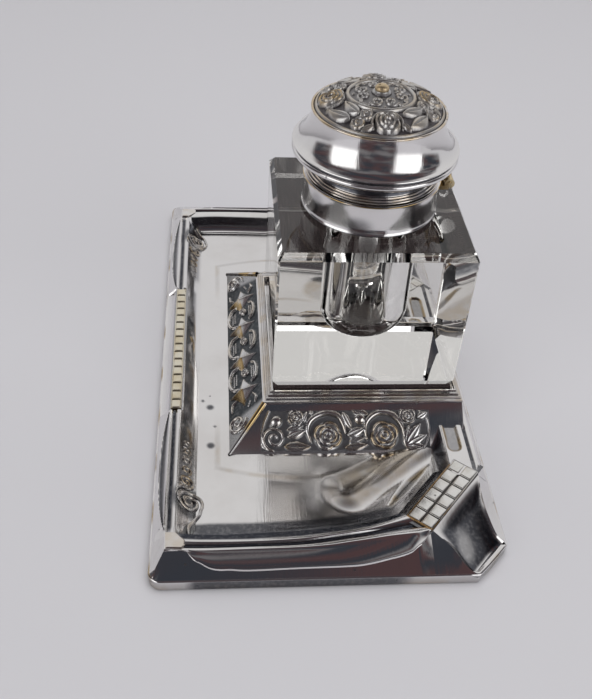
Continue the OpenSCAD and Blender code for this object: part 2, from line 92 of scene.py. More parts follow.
def only(obj: Piece) -> Piece:
    """Makes an object the only selected and active one."""
    deselect()
    obj.select_set(True)
    bpy.context.view_layer.objects.active = obj
    return obj


@contextmanager
def editing(obj: Piece, kind: str = "VERT", action: str = "SELECT") -> Iterator[None]:
    """Opens a piece for the edit operators and closes it again.

    Args:
        obj: The piece.
        kind: What is picked: VERT, EDGE or FACE.
        action: SELECT to pick all of it, DESELECT for nothing.

    Yields:
        Nothing; what is done in between acts on the piece.
    """
    only(obj)
    bpy.ops.object.mode_set(mode="EDIT")
    bpy.ops.mesh.select_mode(type=kind)
    bpy.ops.mesh.select_all(action=action)
    yield
    bpy.ops.object.mode_set(mode="OBJECT")


def fresh(name: str) -> Piece:
    """Names the object that a primitive operator has just added."""
    obj = bpy.context.object
    obj.name = name
    obj.data.name = name
    return obj


def smooth(obj: Piece, degrees: float) -> Piece:
    """Shades a piece smooth up to a crease angle."""
    only(obj)
    bpy.ops.object.shade_smooth_by_angle(angle=math.radians(degrees))
    return obj


def join(pieces: Sequence[Piece], name: str) -> Piece:
    """Joins pieces into one.

    Args:
        pieces: What to join; the first one keeps its material slots.
        name: The name of the result.

    Returns:
        The joined piece.
    """
    deselect()
    for piece in pieces:
        piece.select_set(True)
    bpy.context.view_layer.objects.active = pieces[0]
    bpy.ops.object.join()
    return fresh(name)


def mirrored(obj: Piece, name: str) -> Piece:
    """Copies a piece to the other side of the middle of the tray.

    Args:
        obj: The right-hand piece.
        name: The name of the left-hand one.

    Returns:
        The copy, with its own mesh and its faces outward.
    """
    only(obj)
    bpy.ops.object.duplicate()
    copy = fresh(name)
    with editing(copy):
        bpy.ops.transform.resize(value=(-1.0, 1.0, 1.0), center_override=(0.0, 0.0, 0.0))
        bpy.ops.mesh.flip_normals()
    return copy


def apply_all(obj: Piece) -> Piece:
    """Applies a piece's modifiers in order."""
    only(obj)
    for modifier in list(obj.modifiers):
        bpy.ops.object.modifier_apply(modifier=modifier.name)
    return obj


def settle(obj: Piece) -> Piece:
    """Puts a piece's place into its mesh, so that its object sits at the origin."""
    only(obj)
    bpy.ops.object.transform_apply(location=True, rotation=True, scale=True)
    return obj


def place_piece(obj: Piece, body: Rides, slot: str, *nodes: str) -> None:
    """Hangs a finished piece on its body and hides the CAD nodes that it replaces.

    Args:
        obj: The piece.
        body: The body it rides on.
        slot: Not used.
        nodes: The CAD nodes that it replaces.
    """
    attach(obj, body.value)
    if nodes:
        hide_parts(*nodes)


def round_edges(obj: Piece, width: float, steps: int = 2) -> Piece:
    """Rounds every edge of a piece.

    Args:
        obj: The piece.
        width: Width of the rounding in millimetres.
        steps: Segments of the rounding.

    Returns:
        The same piece.
    """
    with editing(obj):
        bpy.ops.mesh.bevel(offset=width * MM, segments=steps, affect="EDGES")
    return obj


def bar(name: str, low: Sequence[float], high: Sequence[float], bevel: float = 0.0) -> Piece:
    """A block between two corners, with rounded edges.

    Args:
        name: The piece's name.
        low: Lowest corner in millimetres.
        high: Highest corner in millimetres.
        bevel: Width of the rounding in millimetres, 0 for sharp edges.

    Returns:
        The block, its place in its mesh.
    """
    deselect()
    mid = [(a + b) / 2 * MM for a, b in zip(low, high)]
    bpy.ops.mesh.primitive_cube_add(size=1.0, location=mid)
    obj = fresh(name)
    obj.scale = [(b - a) * MM for a, b in zip(low, high)]
    settle(obj)
    return round_edges(obj, bevel) if bevel > 0 else obj


def pull(x: float, y: float, z: float) -> None:
    """Extrudes what is picked by a distance in millimetres."""
    bpy.ops.mesh.extrude_region_move(TRANSFORM_OT_translate={"value": (x * MM, y * MM, z * MM)})


def wire(name: str, points: Sequence[Sequence[float]]) -> Piece:
    """Draws a line of edges from point to point.

    Args:
        name: The piece's name.
        points: Places (x, y, z) in millimetres.

    Returns:
        The line.
    """
    deselect()
    bpy.ops.mesh.primitive_plane_add(size=MM, location=[c * MM for c in points[0]])
    obj = settle(fresh(name))
    with editing(obj):
        bpy.ops.mesh.merge(type="CENTER")
        for a, b in zip(points, points[1:]):
            pull(*(q - p for p, q in zip(a, b)))
    return obj


def weld(obj: Piece, reach: float = 0.002) -> Piece:
    """Merges points that lie together and turns the faces outward."""
    with editing(obj):
        bpy.ops.mesh.remove_doubles(threshold=reach * MM)
        bpy.ops.mesh.normals_make_consistent(inside=False)
    return obj


def turned(name: str, profile: Sequence[Point], steps: int) -> Piece:
    """Turns a profile round the well's upright axis, as on a spinning lathe.

    Args:
        name: The piece's name.
        profile: Points (radius, height) in millimetres, from bottom to top and back.
        steps: Facets round the axis.

    Returns:
        The turned piece with its faces outward.
    """
    obj = wire(name, [(r, WELL_Y, z) for r, z in profile])
    with editing(obj):
        bpy.ops.mesh.spin(steps=steps, angle=2 * math.pi, center=(0.0, WELL_Y * MM, 0.0), axis=UP)
    return smooth(weld(obj), 40)


def arc(centre: Point, radius: float, start: float, end: float, count: int) -> list[Point]:
    """Points on an arc of a profile.

    Args:
        centre: Centre (radius, height) in millimetres.
        radius: Radius of the arc.
        start: First angle in degrees, 0 pointing outwards and 90 up.
        end: Last angle in degrees.
        count: How many points.

    Returns:
        The points from start to end.
    """
    return [spot(radius, degrees, centre) for degrees in np.linspace(start, end, count)]


def spot(radius: float, degrees: float, centre: Point = (0.0, 0.0)) -> Point:
    """A place given by its distance and angle from a centre."""
    a = math.radians(degrees)
    return centre[0] + radius * math.cos(a), centre[1] + radius * math.sin(a)


def flowing(points: Sequence[Sequence[float]], per_span: int) -> Array:
    """A soft curve through points.

    Args:
        points: The points that it passes through.
        per_span: Samples between two of them.

    Returns:
        An array of points along the curve.
    """
    p = np.asarray(points, dtype=float)
    if len(p) < 3:
        u = np.linspace(0, 1, per_span + 1)[:, None]
        return p[0] + (p[-1] - p[0]) * u
    ends = np.vstack([2 * p[0] - p[1], p, 2 * p[-1] - p[-2]])
    out = []
    for a, b, c, d in zip(ends, ends[1:], ends[2:], ends[3:]):
        for u in np.linspace(0, 1, per_span, endpoint=False):
            bend = (2 * a - 5 * b + 4 * c - d) * u**2 + (3 * b - a - 3 * c + d) * u**3
            out.append(0.5 * (2 * b + (c - a) * u + bend))
    out.append(p[-1])
    return np.array(out)


def soft_profile(points: Sequence[Point]) -> list[Point]:
    """Softens a stretch of a turned profile."""
    return [(float(r), float(z)) for r, z in flowing(points, 4)]


def at_share(line: Array, share: Array) -> Array:
    """Reads a curve at shares of its points."""
    run = np.linspace(0, 1, len(line))
    return np.array([np.interp(share, run, line[:, k]) for k in range(line.shape[1])])


def ease(low: float, high: float, value: Array) -> Array:
    """Rises softly from 0 at low to 1 at high.

    Args:
        low: Where it starts.
        high: Where it ends; below low for a fall.
        value: What is measured.

    Returns:
        The eased value, 0 to 1.
    """
    u = np.clip((value - low) / (high - low), 0.0, 1.0)
    return u * u * (3 - 2 * u)


def places(obj: Piece) -> Array:
    """Reads where a piece's points are."""
    co = np.empty(len(obj.data.vertices) * 3)
    obj.data.vertices.foreach_get("co", co)
    return co.reshape(-1, 3) / MM


def marks(obj: Piece, attribute: str) -> Array:
    """Reads the numbers kept for a piece's points."""
    value = np.empty(len(obj.data.vertices))
    obj.data.attributes[attribute].data.foreach_get("value", value)
    return value


def keep(obj: Piece, attribute: str, value: Array) -> None:
    """Keeps a number for every point of a piece, for the finish to read.

    Args:
        obj: The piece.
        attribute: Which number it is: grime with painted shade, or rub.
        value: One number for each point.
    """
    layer = obj.data.attributes.get(attribute) or obj.data.attributes.new(attribute, "FLOAT", "POINT")
    layer.data.foreach_set("value", value.astype(np.float32))


@dataclass
class Sheet:
    """A grid of metal whose points are pressed into place."""

    name: str
    columns: int
    rows: int
    obj: Piece = field(init=False)
    col: Array = field(init=False)
    row: Array = field(init=False)

    def __post_init__(self) -> None:
        """Adds the flat grid."""
        deselect()
        cells = {"x_subdivisions": self.columns - 1, "y_subdivisions": self.rows - 1}
        bpy.ops.mesh.primitive_grid_add(size=1.0, **cells)
        self.obj = fresh(self.name)
        flat = places(self.obj) * MM + 0.5
        self.col = np.rint(flat[:, 0] * (self.columns - 1)).astype(int)
        self.row = np.rint(flat[:, 1] * (self.rows - 1)).astype(int)

    def spread(self, value: object) -> Array:
        """Turns a field by column and row into one number for each point."""
        return np.broadcast_to(value, (self.columns, self.rows))[self.col, self.row]

    def press(self, x: Array, y: Array, z: Array, facing: Sequence[float] = UP) -> None:
        """Moves every point to its place and turns the faces the right way.

        Args:
            x: Places along X in millimetres, one per column and row.
            y: Places along Y.
            z: Heights.
            facing: Roughly where the outside looks.
        """
        mesh = self.obj.data
        where = np.column_stack([self.spread(value) for value in (x, y, z)])
        mesh.vertices.foreach_set("co", where.ravel() * MM)
        mesh.update()
        normals = np.empty(len(mesh.polygons) * 3)
        mesh.polygons.foreach_get("normal", normals)
        if float(np.sum(normals.reshape(-1, 3) @ np.asarray(facing, dtype=float))) < 0:
            with editing(self.obj):
                bpy.ops.mesh.flip_normals()

    def age(self, grime: object, rub: object = 0.0) -> None:
        """Keeps the dirt with painted shade, and the wear, of every point."""
        keep(self.obj, "grime", self.spread(grime))
        keep(self.obj, "rub", self.spread(rub))


def blurred(h: Array, reach: int) -> Array:
    """Averages a field over its neighbours.

    Args:
        h: The field.
        reach: How many neighbours each way.

    Returns:
        The averaged field.
    """
    out = h
    for axis in (0, 1):
        pad = [(reach, reach) if a == axis else (0, 0) for a in (0, 1)]
        big = np.cumsum(np.pad(out, pad, mode="edge"), axis=axis)
        big = np.concatenate([0 * np.take(big, [0], axis=axis), big], axis=axis)
        n = out.shape[axis]
        width = 2 * reach + 1
        after, before = (np.take(big, range(first, first + n), axis=axis) for first in (width, 0))
        out = (after - before) / width
    return out


@dataclass
class Relief:
    """Raised ornament over a field of points, heights in millimetres."""

    s: Array
    t: Array
    h: Array = field(init=False)
    warm: Array = field(init=False)

    def __post_init__(self) -> None:
        """Starts flat and cool."""
        self.h = np.zeros_like(self.s)
        self.warm = np.zeros_like(self.s)

    def lift(self, near: Array, shape: Array, brass: float) -> None:
        """Raises part of the field to a shape where that stands higher, and tints it."""
        old = self.h[near]
        higher = shape > old
        self.h[near] = np.where(higher, shape, old)
        self.warm[near] = np.where(higher, brass, self.warm[near])

    def stroke(
        self, path: Sequence[Point], width: float, height: float, taper: Point, brass: float = 0.0
    ) -> None:
        """A rounded strap along a flowing line.

        Args:
            path: Points that it passes through.
            width: Half width in the middle.
            height: Height in the middle.
            taper: Share of the width left at each end.
            brass: How brassy it is, 0 to 1.
        """
        line = flowing(path, 7)
        n = len(line) - 1
        for k in range(n):
            a, b = line[k], line[k + 1]
            u = (k + 0.5) / n
            share = min(1.0, taper[0] + (1 - taper[0]) * u * 3, taper[1] + (1 - taper[1]) * (1 - u) * 3)
            w = width * share
            near = (
                (self.s > min(a[0], b[0]) - w) & (self.s < max(a[0], b[0]) + w)
                & (self.t > min(a[1], b[1]) - w) & (self.t < max(a[1], b[1]) + w)
            )
            if not near.any():
                continue
            ds, dt = b[0] - a[0], b[1] - a[1]
            length = max(ds * ds + dt * dt, 1e-9)
            f = np.clip(((self.s[near] - a[0]) * ds + (self.t[near] - a[1]) * dt) / length, 0, 1)
            dist = np.hypot(self.s[near] - a[0] - f * ds, self.t[near] - a[1] - f * dt) / w
            shape = height * (0.45 + 0.55 * share) * np.sqrt(np.clip(1 - dist**2, 0, 1))
            self.lift(near, shape, brass)

    def coil(
        self, s: float, t: float, r: float, turns: float, start: float, hand: Hand, width: float,
        height: float, brass: float = 0.0,
    ) -> None:
        """A spiral volute.

        Args:
            s: Centre along the panel.
            t: Centre across the panel.
            r: Outer radius.
            turns: How many turns it makes inwards.
            start: Angle of its outer end in degrees.
            hand: Which way it winds.
            width: Half width of the strap.
            height: Height of the strap.
            brass: How brassy it is.
        """
        u = np.linspace(0, 1, int(14 * turns) + 3)
        a = math.radians(start) + hand.value * u * turns * 2 * math.pi
        rho = r + (min(0.3 * r, width * 1.2) - r) * u
        pts = [(s + q * math.cos(b), t + q * math.sin(b)) for q, b in zip(rho, a)]
        self.stroke(pts, width, height, (0.9, 0.8), brass)

    def bead(self, s: float, t: float, r: float, height: float, brass: float = 0.0) -> None:
        """A round bead.

        Args:
            s: Centre along the panel.
            t: Centre across the panel.
            r: Radius.
            height: Height.
            brass: How brassy it is.
        """
        near = (np.abs(self.s - s) < r) & (np.abs(self.t - t) < r)
        rho = np.hypot(self.s[near] - s, self.t[near] - t) / r
        self.lift(near, height * np.sqrt(np.clip(1 - rho**2, 0, 1)), brass)

    def beads(self, path: Sequence[Point], pitch: float, r: float, height: float) -> None:
        """A row of beads along a flowing line.

        Args:
            path: Points that the row passes through.
            pitch: Distance between beads.
            r: Radius of a bead.
            height: Height of a bead.
        """
        line = flowing(path, 12)
        run = np.concatenate([[0], np.cumsum(np.hypot(*np.diff(line, axis=0).T))])
        for d in np.arange(pitch / 2, run[-1], pitch):
            s, t = (float(np.interp(d, run, line[:, k])) for k in (0, 1))
            self.bead(s, t, r, height)

    def ring(self, radius: float, width: float, height: float, brass: float) -> None:
        """A plain ring round the middle of the field.

        Args:
            radius: Radius of its crest.
            width: Half width.
            height: Height.
            brass: How brassy it is.
        """
        rho = np.hypot(self.s, self.t)
        near = np.abs(rho - radius) < width
        shape = height * np.sqrt(np.clip(1 - ((rho[near] - radius) / width) ** 2, 0, 1))
        self.lift(near, shape, brass)

    def rose(self, s: float, t: float, r: float, height: float, turn: float, brass: float = 0.0) -> None:
        """An open rose: rolled petal edges in rings on a low boss.

        Args:
            s: Centre along the panel.
            t: Centre across the panel.
            r: Radius.
            height: Height.
            turn: How far it is turned, in degrees.
            brass: How brassy it is.
        """
        self.bead(s, t, r * 0.97, height * 0.6)
        large = r > 2.2
        rings = ((0.78, 4, 0.85), (0.3, 1, 1.0))
        if large:
            rings = ((0.86, 4, 0.8), (0.55, 3, 0.95), (0.24, 1, 1.0))
        for size, petals, lift in rings:
            for k in range(petals):
                start = turn + size * 90 + 360 * k / petals
                swept = min(340.0, 360 / petals * 1.12)
                turns = np.radians(start + swept * np.linspace(0, 1, 6 if petals > 1 else 10))
                bulge = r * size * (0.86 + 0.16 * np.sin(np.linspace(0, math.pi, len(turns))))
                path = [(s + q * math.cos(a), t + q * math.sin(a)) for q, a in zip(bulge, turns)]
                self.stroke(path, r * (0.135 if large else 0.2), height * lift, (0.5, 0.7), brass)

    def leaf(self, root: Point, tip: Point, width: float, height: float, brass: float = 0.0) -> None:
        """A veined leaf from its root to its tip.

        Args:
            root: Where it grows from.
            tip: Where it ends.
            width: Half width.
            height: Height of its crown.
            brass: How brassy it is.
        """
        ds, dt = tip[0] - root[0], tip[1] - root[1]
        length = math.hypot(ds, dt)
        reach = length / 2 + width
        mid_s, mid_t = (root[0] + tip[0]) / 2, (root[1] + tip[1]) / 2
        near = (np.abs(self.s - mid_s) < reach) & (np.abs(self.t - mid_t) < reach)
        a, b = self.s[near] - root[0], self.t[near] - root[1]
        u = (a * ds + b * dt) / length**2
        v = (b * ds - a * dt) / length
        edge = width * np.clip(np.sin(np.pi * np.clip(u, 0, 1) ** 0.8), 0, 1) ** 0.8
        q = np.abs(v) / np.maximum(edge, 1e-6)
        shape = height * np.sqrt(np.clip(1 - q**2, 0, 1))
        shape *= 1 - 0.38 * (1 - ease(0.0, 0.26, q)) * ease(0.98, 0.8, u)
        self.lift(near, np.where((u > 0) & (u < 1), shape, 0), brass)

    def star(self, s: float, t: float, wide: float, tall: float, height: float, brass: float = 0.0) -> None:
        """A folded star with four hollow-sided points.

        Args:
            s: Centre along the panel.
            t: Centre across the panel.
            wide: Reach of its side points.
            tall: Reach of its upper and lower points.
            height: Height of its centre.
            brass: How brassy its worn facet is.
        """
        near = (np.abs(self.s - s) < wide) & (np.abs(self.t - t) < tall)
        a, b = (self.s[near] - s) / wide, (self.t[near] - t) / tall
        reach = 1 - (np.abs(a) ** 0.74 + np.abs(b) ** 0.74)
        shape = height * np.clip(reach, 0, 1) ** 0.62
        self.lift(near, shape, 0.1)
        worn = near.copy()
        worn[near] = (reach > 0) & (b < 0.1) & (a > 0)
        self.warm[worn] = brass

    def ageing(self, step: float, open_ground: float = 0.6) -> tuple[Array, Array]:
        """Works out where the dirt stays and where hands have rubbed.

        Args:
            step: Distance between neighbouring points.
            open_ground: How dark the flat ground is.

        Returns:
            Grime and rub, each 0 to 1.
        """
        near = blurred(self.h, max(1, round(0.45 / step)))
        wide = blurred(self.h, max(2, round(1.3 / step)))
        grime = np.clip((near - self.h) / 0.3, 0, 1) * 0.3 + np.clip((wide - self.h) / 0.6, 0, 1) * 0.45
        grime = np.maximum(grime, open_ground * ease(0.3, 0.08, self.h))
        rub = np.clip((self.h - near) / 0.09, 0, 1) * 0.5 + np.clip((self.h - wide) / 0.45, 0, 1) * 0.5
        return np.clip(grime, 0, 1), np.clip(rub * (0.25 + 0.75 * self.warm), 0, 1)


# ------------------------------------------------------------------- finishes


@dataclass
class Graph:
    """A node tree with short ways to add and join nodes."""

    tree: Tree

    def add(self, kind: str, settings: dict | None = None, **inputs: object) -> Node:
        """Adds a node.

        Args:
            kind: Its Blender type name, without the ShaderNode in front.
            settings: Properties of the node.
            inputs: Values or sockets for its inputs; an underscore stands for a space.

        Returns:
            The node.
        """
        node = self.tree.nodes.new(kind if kind.startswith("NodeGroup") else "ShaderNode" + kind)
        for name, value in (settings or {}).items():
            setattr(node, name, value)
        for name, value in inputs.items():
            key = int(name[2:]) if name.startswith("in") and name[2:].isdigit() else name.replace("_", " ")
            self.feed(node.inputs[key], value)
        return node

    def feed(self, socket: Socket, value: object) -> None:
        """Links a socket to an input, or sets the input's own value.

        Args:
            socket: The input.
            value: A socket, a number, or a colour.
        """
        if isinstance(value, Socket):
            self.tree.links.new(value, socket)
        elif isinstance(value, tuple) and len(value) == 3 and socket.type == "RGBA":
            socket.default_value = (*value, 1.0)
        else:
            socket.default_value = value

    def math(self, op: str, a: object, b: object = 0.0, clamp: bool = False) -> Socket:
        """Joins two numbers.

        Args:
            op: The operation.
            a: First number.
            b: Second number.
            clamp: Whether to keep the result between 0 and 1.

        Returns:
            The result's socket.
        """
        node = self.add("Math", {"operation": op, "use_clamp": clamp}, in0=a, in1=b)
        return node.outputs[0]

    def mix(self, factor: object, a: object, b: object, blend: str = "MIX") -> Socket:
        """Mixes two colours.

        Args:
            factor: How much of the second.
            a: First colour.
            b: Second colour.
            blend: How they mix.

        Returns:
            The mixed colour's socket.
        """
        node = self.add("Mix", {"data_type": "RGBA", "blend_type": blend}, in0=factor, in6=a, in7=b)
        return node.outputs[2]

    def remap(
        self, value: object, low: object, high: object, to_low: float = 0.0, to_high: float = 1.0
    ) -> Socket:
        """Maps a range of numbers softly onto another.

        Args:
            value: The number.
            low: Start of its range.
            high: End of its range.
            to_low: What the start becomes.
            to_high: What the end becomes.

        Returns:
            The mapped number's socket.
        """
        soft = {"interpolation_type": "SMOOTHSTEP"}
        ends = {"From_Min": low, "From_Max": high, "To_Min": to_low, "To_Max": to_high}
        return self.add("MapRange", soft, Value=value, **ends).outputs[0]

    def place(self) -> Socket:
        """Where a point lies on the piece."""
        return self.add("TexCoord").outputs["Object"]

    def noise(self, place: Socket, scale: object, detail: float, rough: float = 0.5) -> Socket:
        """Uneven clouds of numbers.

        Args:
            place: Where to read them.
            scale: How many clouds there are to a metre.
            detail: How many finer layers they have.
            rough: How strong the finer layers are.

        Returns:
            The number's socket.
        """
        return self.add("TexNoise", Vector=place, Scale=scale, Detail=detail, Roughness=rough).outputs[0]

    def show(self, factor: Socket, first: Node, second: Node) -> None:
        """Sends a mix of two shaders to the material's surface.

        Args:
            factor: How much of the second.
            first: First shader.
            second: Second shader.
        """
        mixed = self.add("MixShader", in0=factor, in1=first.outputs[0], in2=second.outputs[0])
        surface = next(n for n in self.tree.nodes if n.type == "OUTPUT_MATERIAL")
        self.feed(surface.inputs["Surface"], mixed.outputs[0])

    def group(self, tree: Tree, **inputs: object) -> Node:
        """Places a shared effect.

        Args:
            tree: The group.
            inputs: Its inputs.

        Returns:
            The group node.
        """
        node = self.tree.nodes.new("ShaderNodeGroup")
        node.node_tree = tree
        for name, value in inputs.items():
            self.feed(node.inputs[name.replace("_", " ")], value)
        return node


def new_group(name: str, inputs: dict[str, object], outputs: Sequence[str]) -> tuple[Graph, Sockets, Sockets]:
    """Starts a shared effect with named inputs and outputs.

    Args:
        name: The group's name.
        inputs: Name and plain value of every input.
        outputs: Name of every output; Color holds a colour and the others a number.

    Returns:
        The graph, the sockets that bring its inputs and the sockets that take its outputs.
    """
    tree = bpy.data.node_groups.new(name, "ShaderNodeTree")
    for key, value in inputs.items():
        kind = "NodeSocketColor" if isinstance(value, tuple) else "NodeSocketFloat"
        socket = tree.interface.new_socket(name=key, in_out="INPUT", socket_type=kind)
        socket.default_value = (*value, 1.0) if isinstance(value, tuple) else value
    for key in outputs:
        kind = "NodeSocketColor" if key == "Color" else "NodeSocketFloat"
        tree.interface.new_socket(name=key, in_out="OUTPUT", socket_type=kind)
    start, end = tree.nodes.new("NodeGroupInput"), tree.nodes.new("NodeGroupOutput")
    return Graph(tree), start.outputs, end.inputs


@dataclass
class Effects:
    """The shared effects: clouding, fine scratches, specks and the ageing of metal with its painted shade."""

    cloud: Tree = field(init=False)
    specks: Tree = field(init=False)
    hairlines: Tree = field(init=False)
    ageing: Tree = field(init=False)

    def __post_init__(self) -> None:
        """Builds each group once."""
        self.cloud = self.make_cloud()
        self.specks = self.make_specks()
        self.hairlines = self.make_hairlines()
        self.ageing = self.make_ageing()

    @staticmethod
    def make_cloud() -> Tree:
        """Soft uneven clouding, such as a light tarnish."""
        g, start, end = new_group("soft_clouding", {"Scale": 40.0, "Low": 0.4, "High": 0.7}, ["Mask"])
        broad = g.noise(g.place(), start["Scale"], 5.0, 0.6)
        g.feed(end["Mask"], g.remap(broad, start["Low"], start["High"]))
        return g.tree

    @staticmethod
    def make_specks() -> Tree:
        """Small scattered spots, such as pits and dust.

        Returns:
            The group.
        """
        g, start, end = new_group("small_specks", {"Scale": 500.0, "Size": 0.18, "Share": 0.5}, ["Mask"])
        cell = g.add("TexVoronoi", Vector=g.place(), Scale=start["Scale"]).outputs
        chance = g.add("SeparateColor", Color=cell["Color"]).outputs[0]
        dot = g.math("LESS_THAN", cell["Distance"], start["Size"])
        g.feed(end["Mask"], g.math("MULTIPLY", dot, g.math("LESS_THAN", chance, start["Share"])))
        return g.tree

    @staticmethod
    def make_hairlines() -> Tree:
        """Fine wiping scratches that cross each other.

        Returns:
            The group.
        """
        g, start, end = new_group("wiping_scratches", {"Scale": 60.0}, ["Height"])
        place = g.place()
        lines = []
        for turn, stretch in ((0.35, (1.0, 26.0, 6.0)), (1.25, (1.0, 34.0, 6.0))):
            bent = g.add("Mapping", Vector=place, Rotation=(0.0, 0.0, turn), Scale=stretch).outputs[0]
            lines.append(g.noise(bent, start["Scale"], 3.0))
        g.feed(end["Height"], g.math("ADD", *lines))
        return g.tree

    @staticmethod
    def make_ageing() -> Tree:
        """Dirt and painted shade in the hollows, warm worn metal on the edges, from the piece's attributes.

        Returns:
            The group.
        """
        inputs = {
            "Clean": (0.8, 0.79, 0.77), "Dark": (0.05, 0.045, 0.045), "Warm": (0.62, 0.47, 0.24),
            "Wear": 1.0, "Smooth": 0.2, "Rough": 0.6,
        }
        g, start, end = new_group("aged_metal", inputs, ["Color", "Roughness"])
        grime = g.add("Attribute", {"attribute_name": "grime"}).outputs["Fac"]
        rub = g.add("Attribute", {"attribute_name": "rub"}).outputs["Fac"]
        place = g.place()
        patch = g.remap(g.noise(place, 160.0, 4.0), 0.35, 0.6, 0.15, 1.2)
        fine = g.remap(g.noise(place, 900.0, 3.0), 0.25, 0.6, 0.92, 1.06)
        dirt_and_shade = g.math("MULTIPLY", grime, fine, True)
        worn = g.math("MULTIPLY", g.math("MULTIPLY", rub, start["Wear"]), patch, True)
        base = g.mix(worn, start["Clean"], start["Warm"])
        g.feed(end["Color"], g.mix(dirt_and_shade, base, start["Dark"]))
        g.feed(end["Roughness"], g.add("Mix", in0=dirt_and_shade, in2=start["Smooth"], in3=start["Rough"]).outputs[0])
        return g.tree


def shaded(colour: Colour) -> Colour:
    """The slightly darker colour of a clouded patch."""
    return tuple(c * 0.97 for c in colour)


@dataclass(frozen=True)
class MetalFinish:
    """A plated or bare metal with tarnish, scratches, dirt, painted shade and wear."""

    name: str
    clean: Colour
    tarnish: Colour
    dark: Colour = (0.035, 0.032, 0.034)
    warm: Colour = (0.60, 0.44, 0.22)
    smooth: float = 0.14
    rough: float = 0.55
    cloud_scale: float = 30.0
    clouding: float = 0.5
    wear: float = 1.0
    speck_share: float = 0.25
    bump: float = 0.06

    def make(self, effects: Effects) -> Material:
        """Builds the material.

        Args:
            effects: The shared effects.

        Returns:
            The material.
        """
        material, g, shader = new_material(self.name)
        colours = {"Clean": self.clean, "Dark": self.dark, "Warm": self.warm}
        aged = g.group(effects.ageing, Wear=self.wear, Smooth=self.smooth, Rough=self.rough, **colours)
        cloud = g.group(effects.cloud, Scale=self.cloud_scale, Low=0.42, High=0.68).outputs[0]
        haze = g.math("MULTIPLY", cloud, self.clouding)
        colour = g.mix(haze, aged.outputs["Color"], self.tarnish, "MULTIPLY")
        specks = g.group(effects.specks, Scale=420.0, Size=0.16, Share=self.speck_share).outputs[0]
        colour = g.mix(g.math("MULTIPLY", specks, 0.55), colour, self.dark)
        g.feed(shader.inputs["Base Color"], colour)
        rough = g.math("ADD", aged.outputs["Roughness"], g.math("MULTIPLY", cloud, 0.08))
        g.feed(shader.inputs["Roughness"], g.math("ADD", rough, g.math("MULTIPLY", specks, 0.2)))
        shader.inputs["Metallic"].default_value = 1.0
        lines = g.group(effects.hairlines, Scale=55.0).outputs[0]
        bump = g.add("Bump", Height=lines, Strength=self.bump, Distance=0.0002)
        g.feed(shader.inputs["Normal"], bump.outputs[0])
        return material


@dataclass(frozen=True)
class MattFinish:
    """A dull material, such as cloth, plaster or board."""

    name: str
    light: Colour
    dark: Colour
    roughness: float = 0.9
    grain: float = 900.0
    bump: float = 0.4
    woven: bool = False

    def make(self, effects: Effects) -> Material:
        """Builds the material.

        Args:
            effects: The shared effects.

        Returns:
            The material.
        """
        material, g, shader = new_material(self.name)
        place = g.place()
        fine = g.noise(place, self.grain, 4.0)
        height = fine
        if self.woven:
            thread = {"Vector": place, "Scale": 260.0, "Distortion": 0.4}
            warp, weft = (g.add("TexWave", {"bands_direction": way}, **thread).outputs[1] for way in "XY")
            height = g.math("ADD", g.math("MULTIPLY", warp, weft), g.math("MULTIPLY", fine, 0.5))
        cloud = g.group(effects.cloud, Scale=70.0, Low=0.35, High=0.7).outputs[0]
        blend = g.math("ADD", g.math("MULTIPLY", height, 0.6), g.math("MULTIPLY", cloud, 0.4), True)
        g.feed(shader.inputs["Base Color"], g.mix(blend, self.dark, self.light))
        smoother = g.math("MULTIPLY", cloud, 0.08)
        g.feed(shader.inputs["Roughness"], g.math("SUBTRACT", self.roughness, smoother))
        bump = g.add("Bump", Height=height, Strength=self.bump, Distance=0.0003)
        g.feed(shader.inputs["Normal"], bump.outputs[0])
        return material


@dataclass(frozen=True)
class GlassFinish:
    """Thick old glass, clear, with a faint uneven surface."""

    name: str
    colour: Colour = (0.875, 0.865, 0.84)
    index: float = 1.51
    roughness: float = 0.004

    def make(self, effects: Effects) -> Material:
        """Builds the material; light passes straight through it for shadows.

        Args:
            effects: The shared effects.

        Returns:
            The material.
        """
        material, g, shader = new_material(self.name)
        shader.inputs["Transmission Weight"].default_value = 1.0
        shader.inputs["IOR"].default_value = self.index
        cloud = g.group(effects.cloud, Scale=26.0, Low=0.3, High=0.8).outputs[0]
        g.feed(shader.inputs["Base Color"], g.mix(cloud, self.colour, shaded(self.colour)))
        specks = g.group(effects.specks, Scale=260.0, Size=0.05, Share=0.10).outputs[0]
        g.feed(shader.inputs["Roughness"], g.math("ADD", g.math("MULTIPLY", specks, 0.25), self.roughness))
        bump = g.add("Bump", Height=g.noise(g.place(), 38.0, 1.0), Strength=0.10, Distance=0.0006)
        g.feed(shader.inputs["Normal"], bump.outputs[0])
        clear = g.add("BsdfTransparent", Color=(0.86, 0.86, 0.85))
        g.show(g.add("LightPath").outputs["Is Shadow Ray"], shader, clear)
        return material


def new_material(name: str) -> tuple[Material, Graph, Node]:
    """Starts a material.

    Args:
        name: Its name.

    Returns:
        The material, its graph and its Principled shader.
    """
    material = bpy.data.materials.new(name)
    material.use_nodes = True
    graph = Graph(material.node_tree)
    shader = next(n for n in graph.tree.nodes if n.type == "BSDF_PRINCIPLED")
    return material, graph, shader


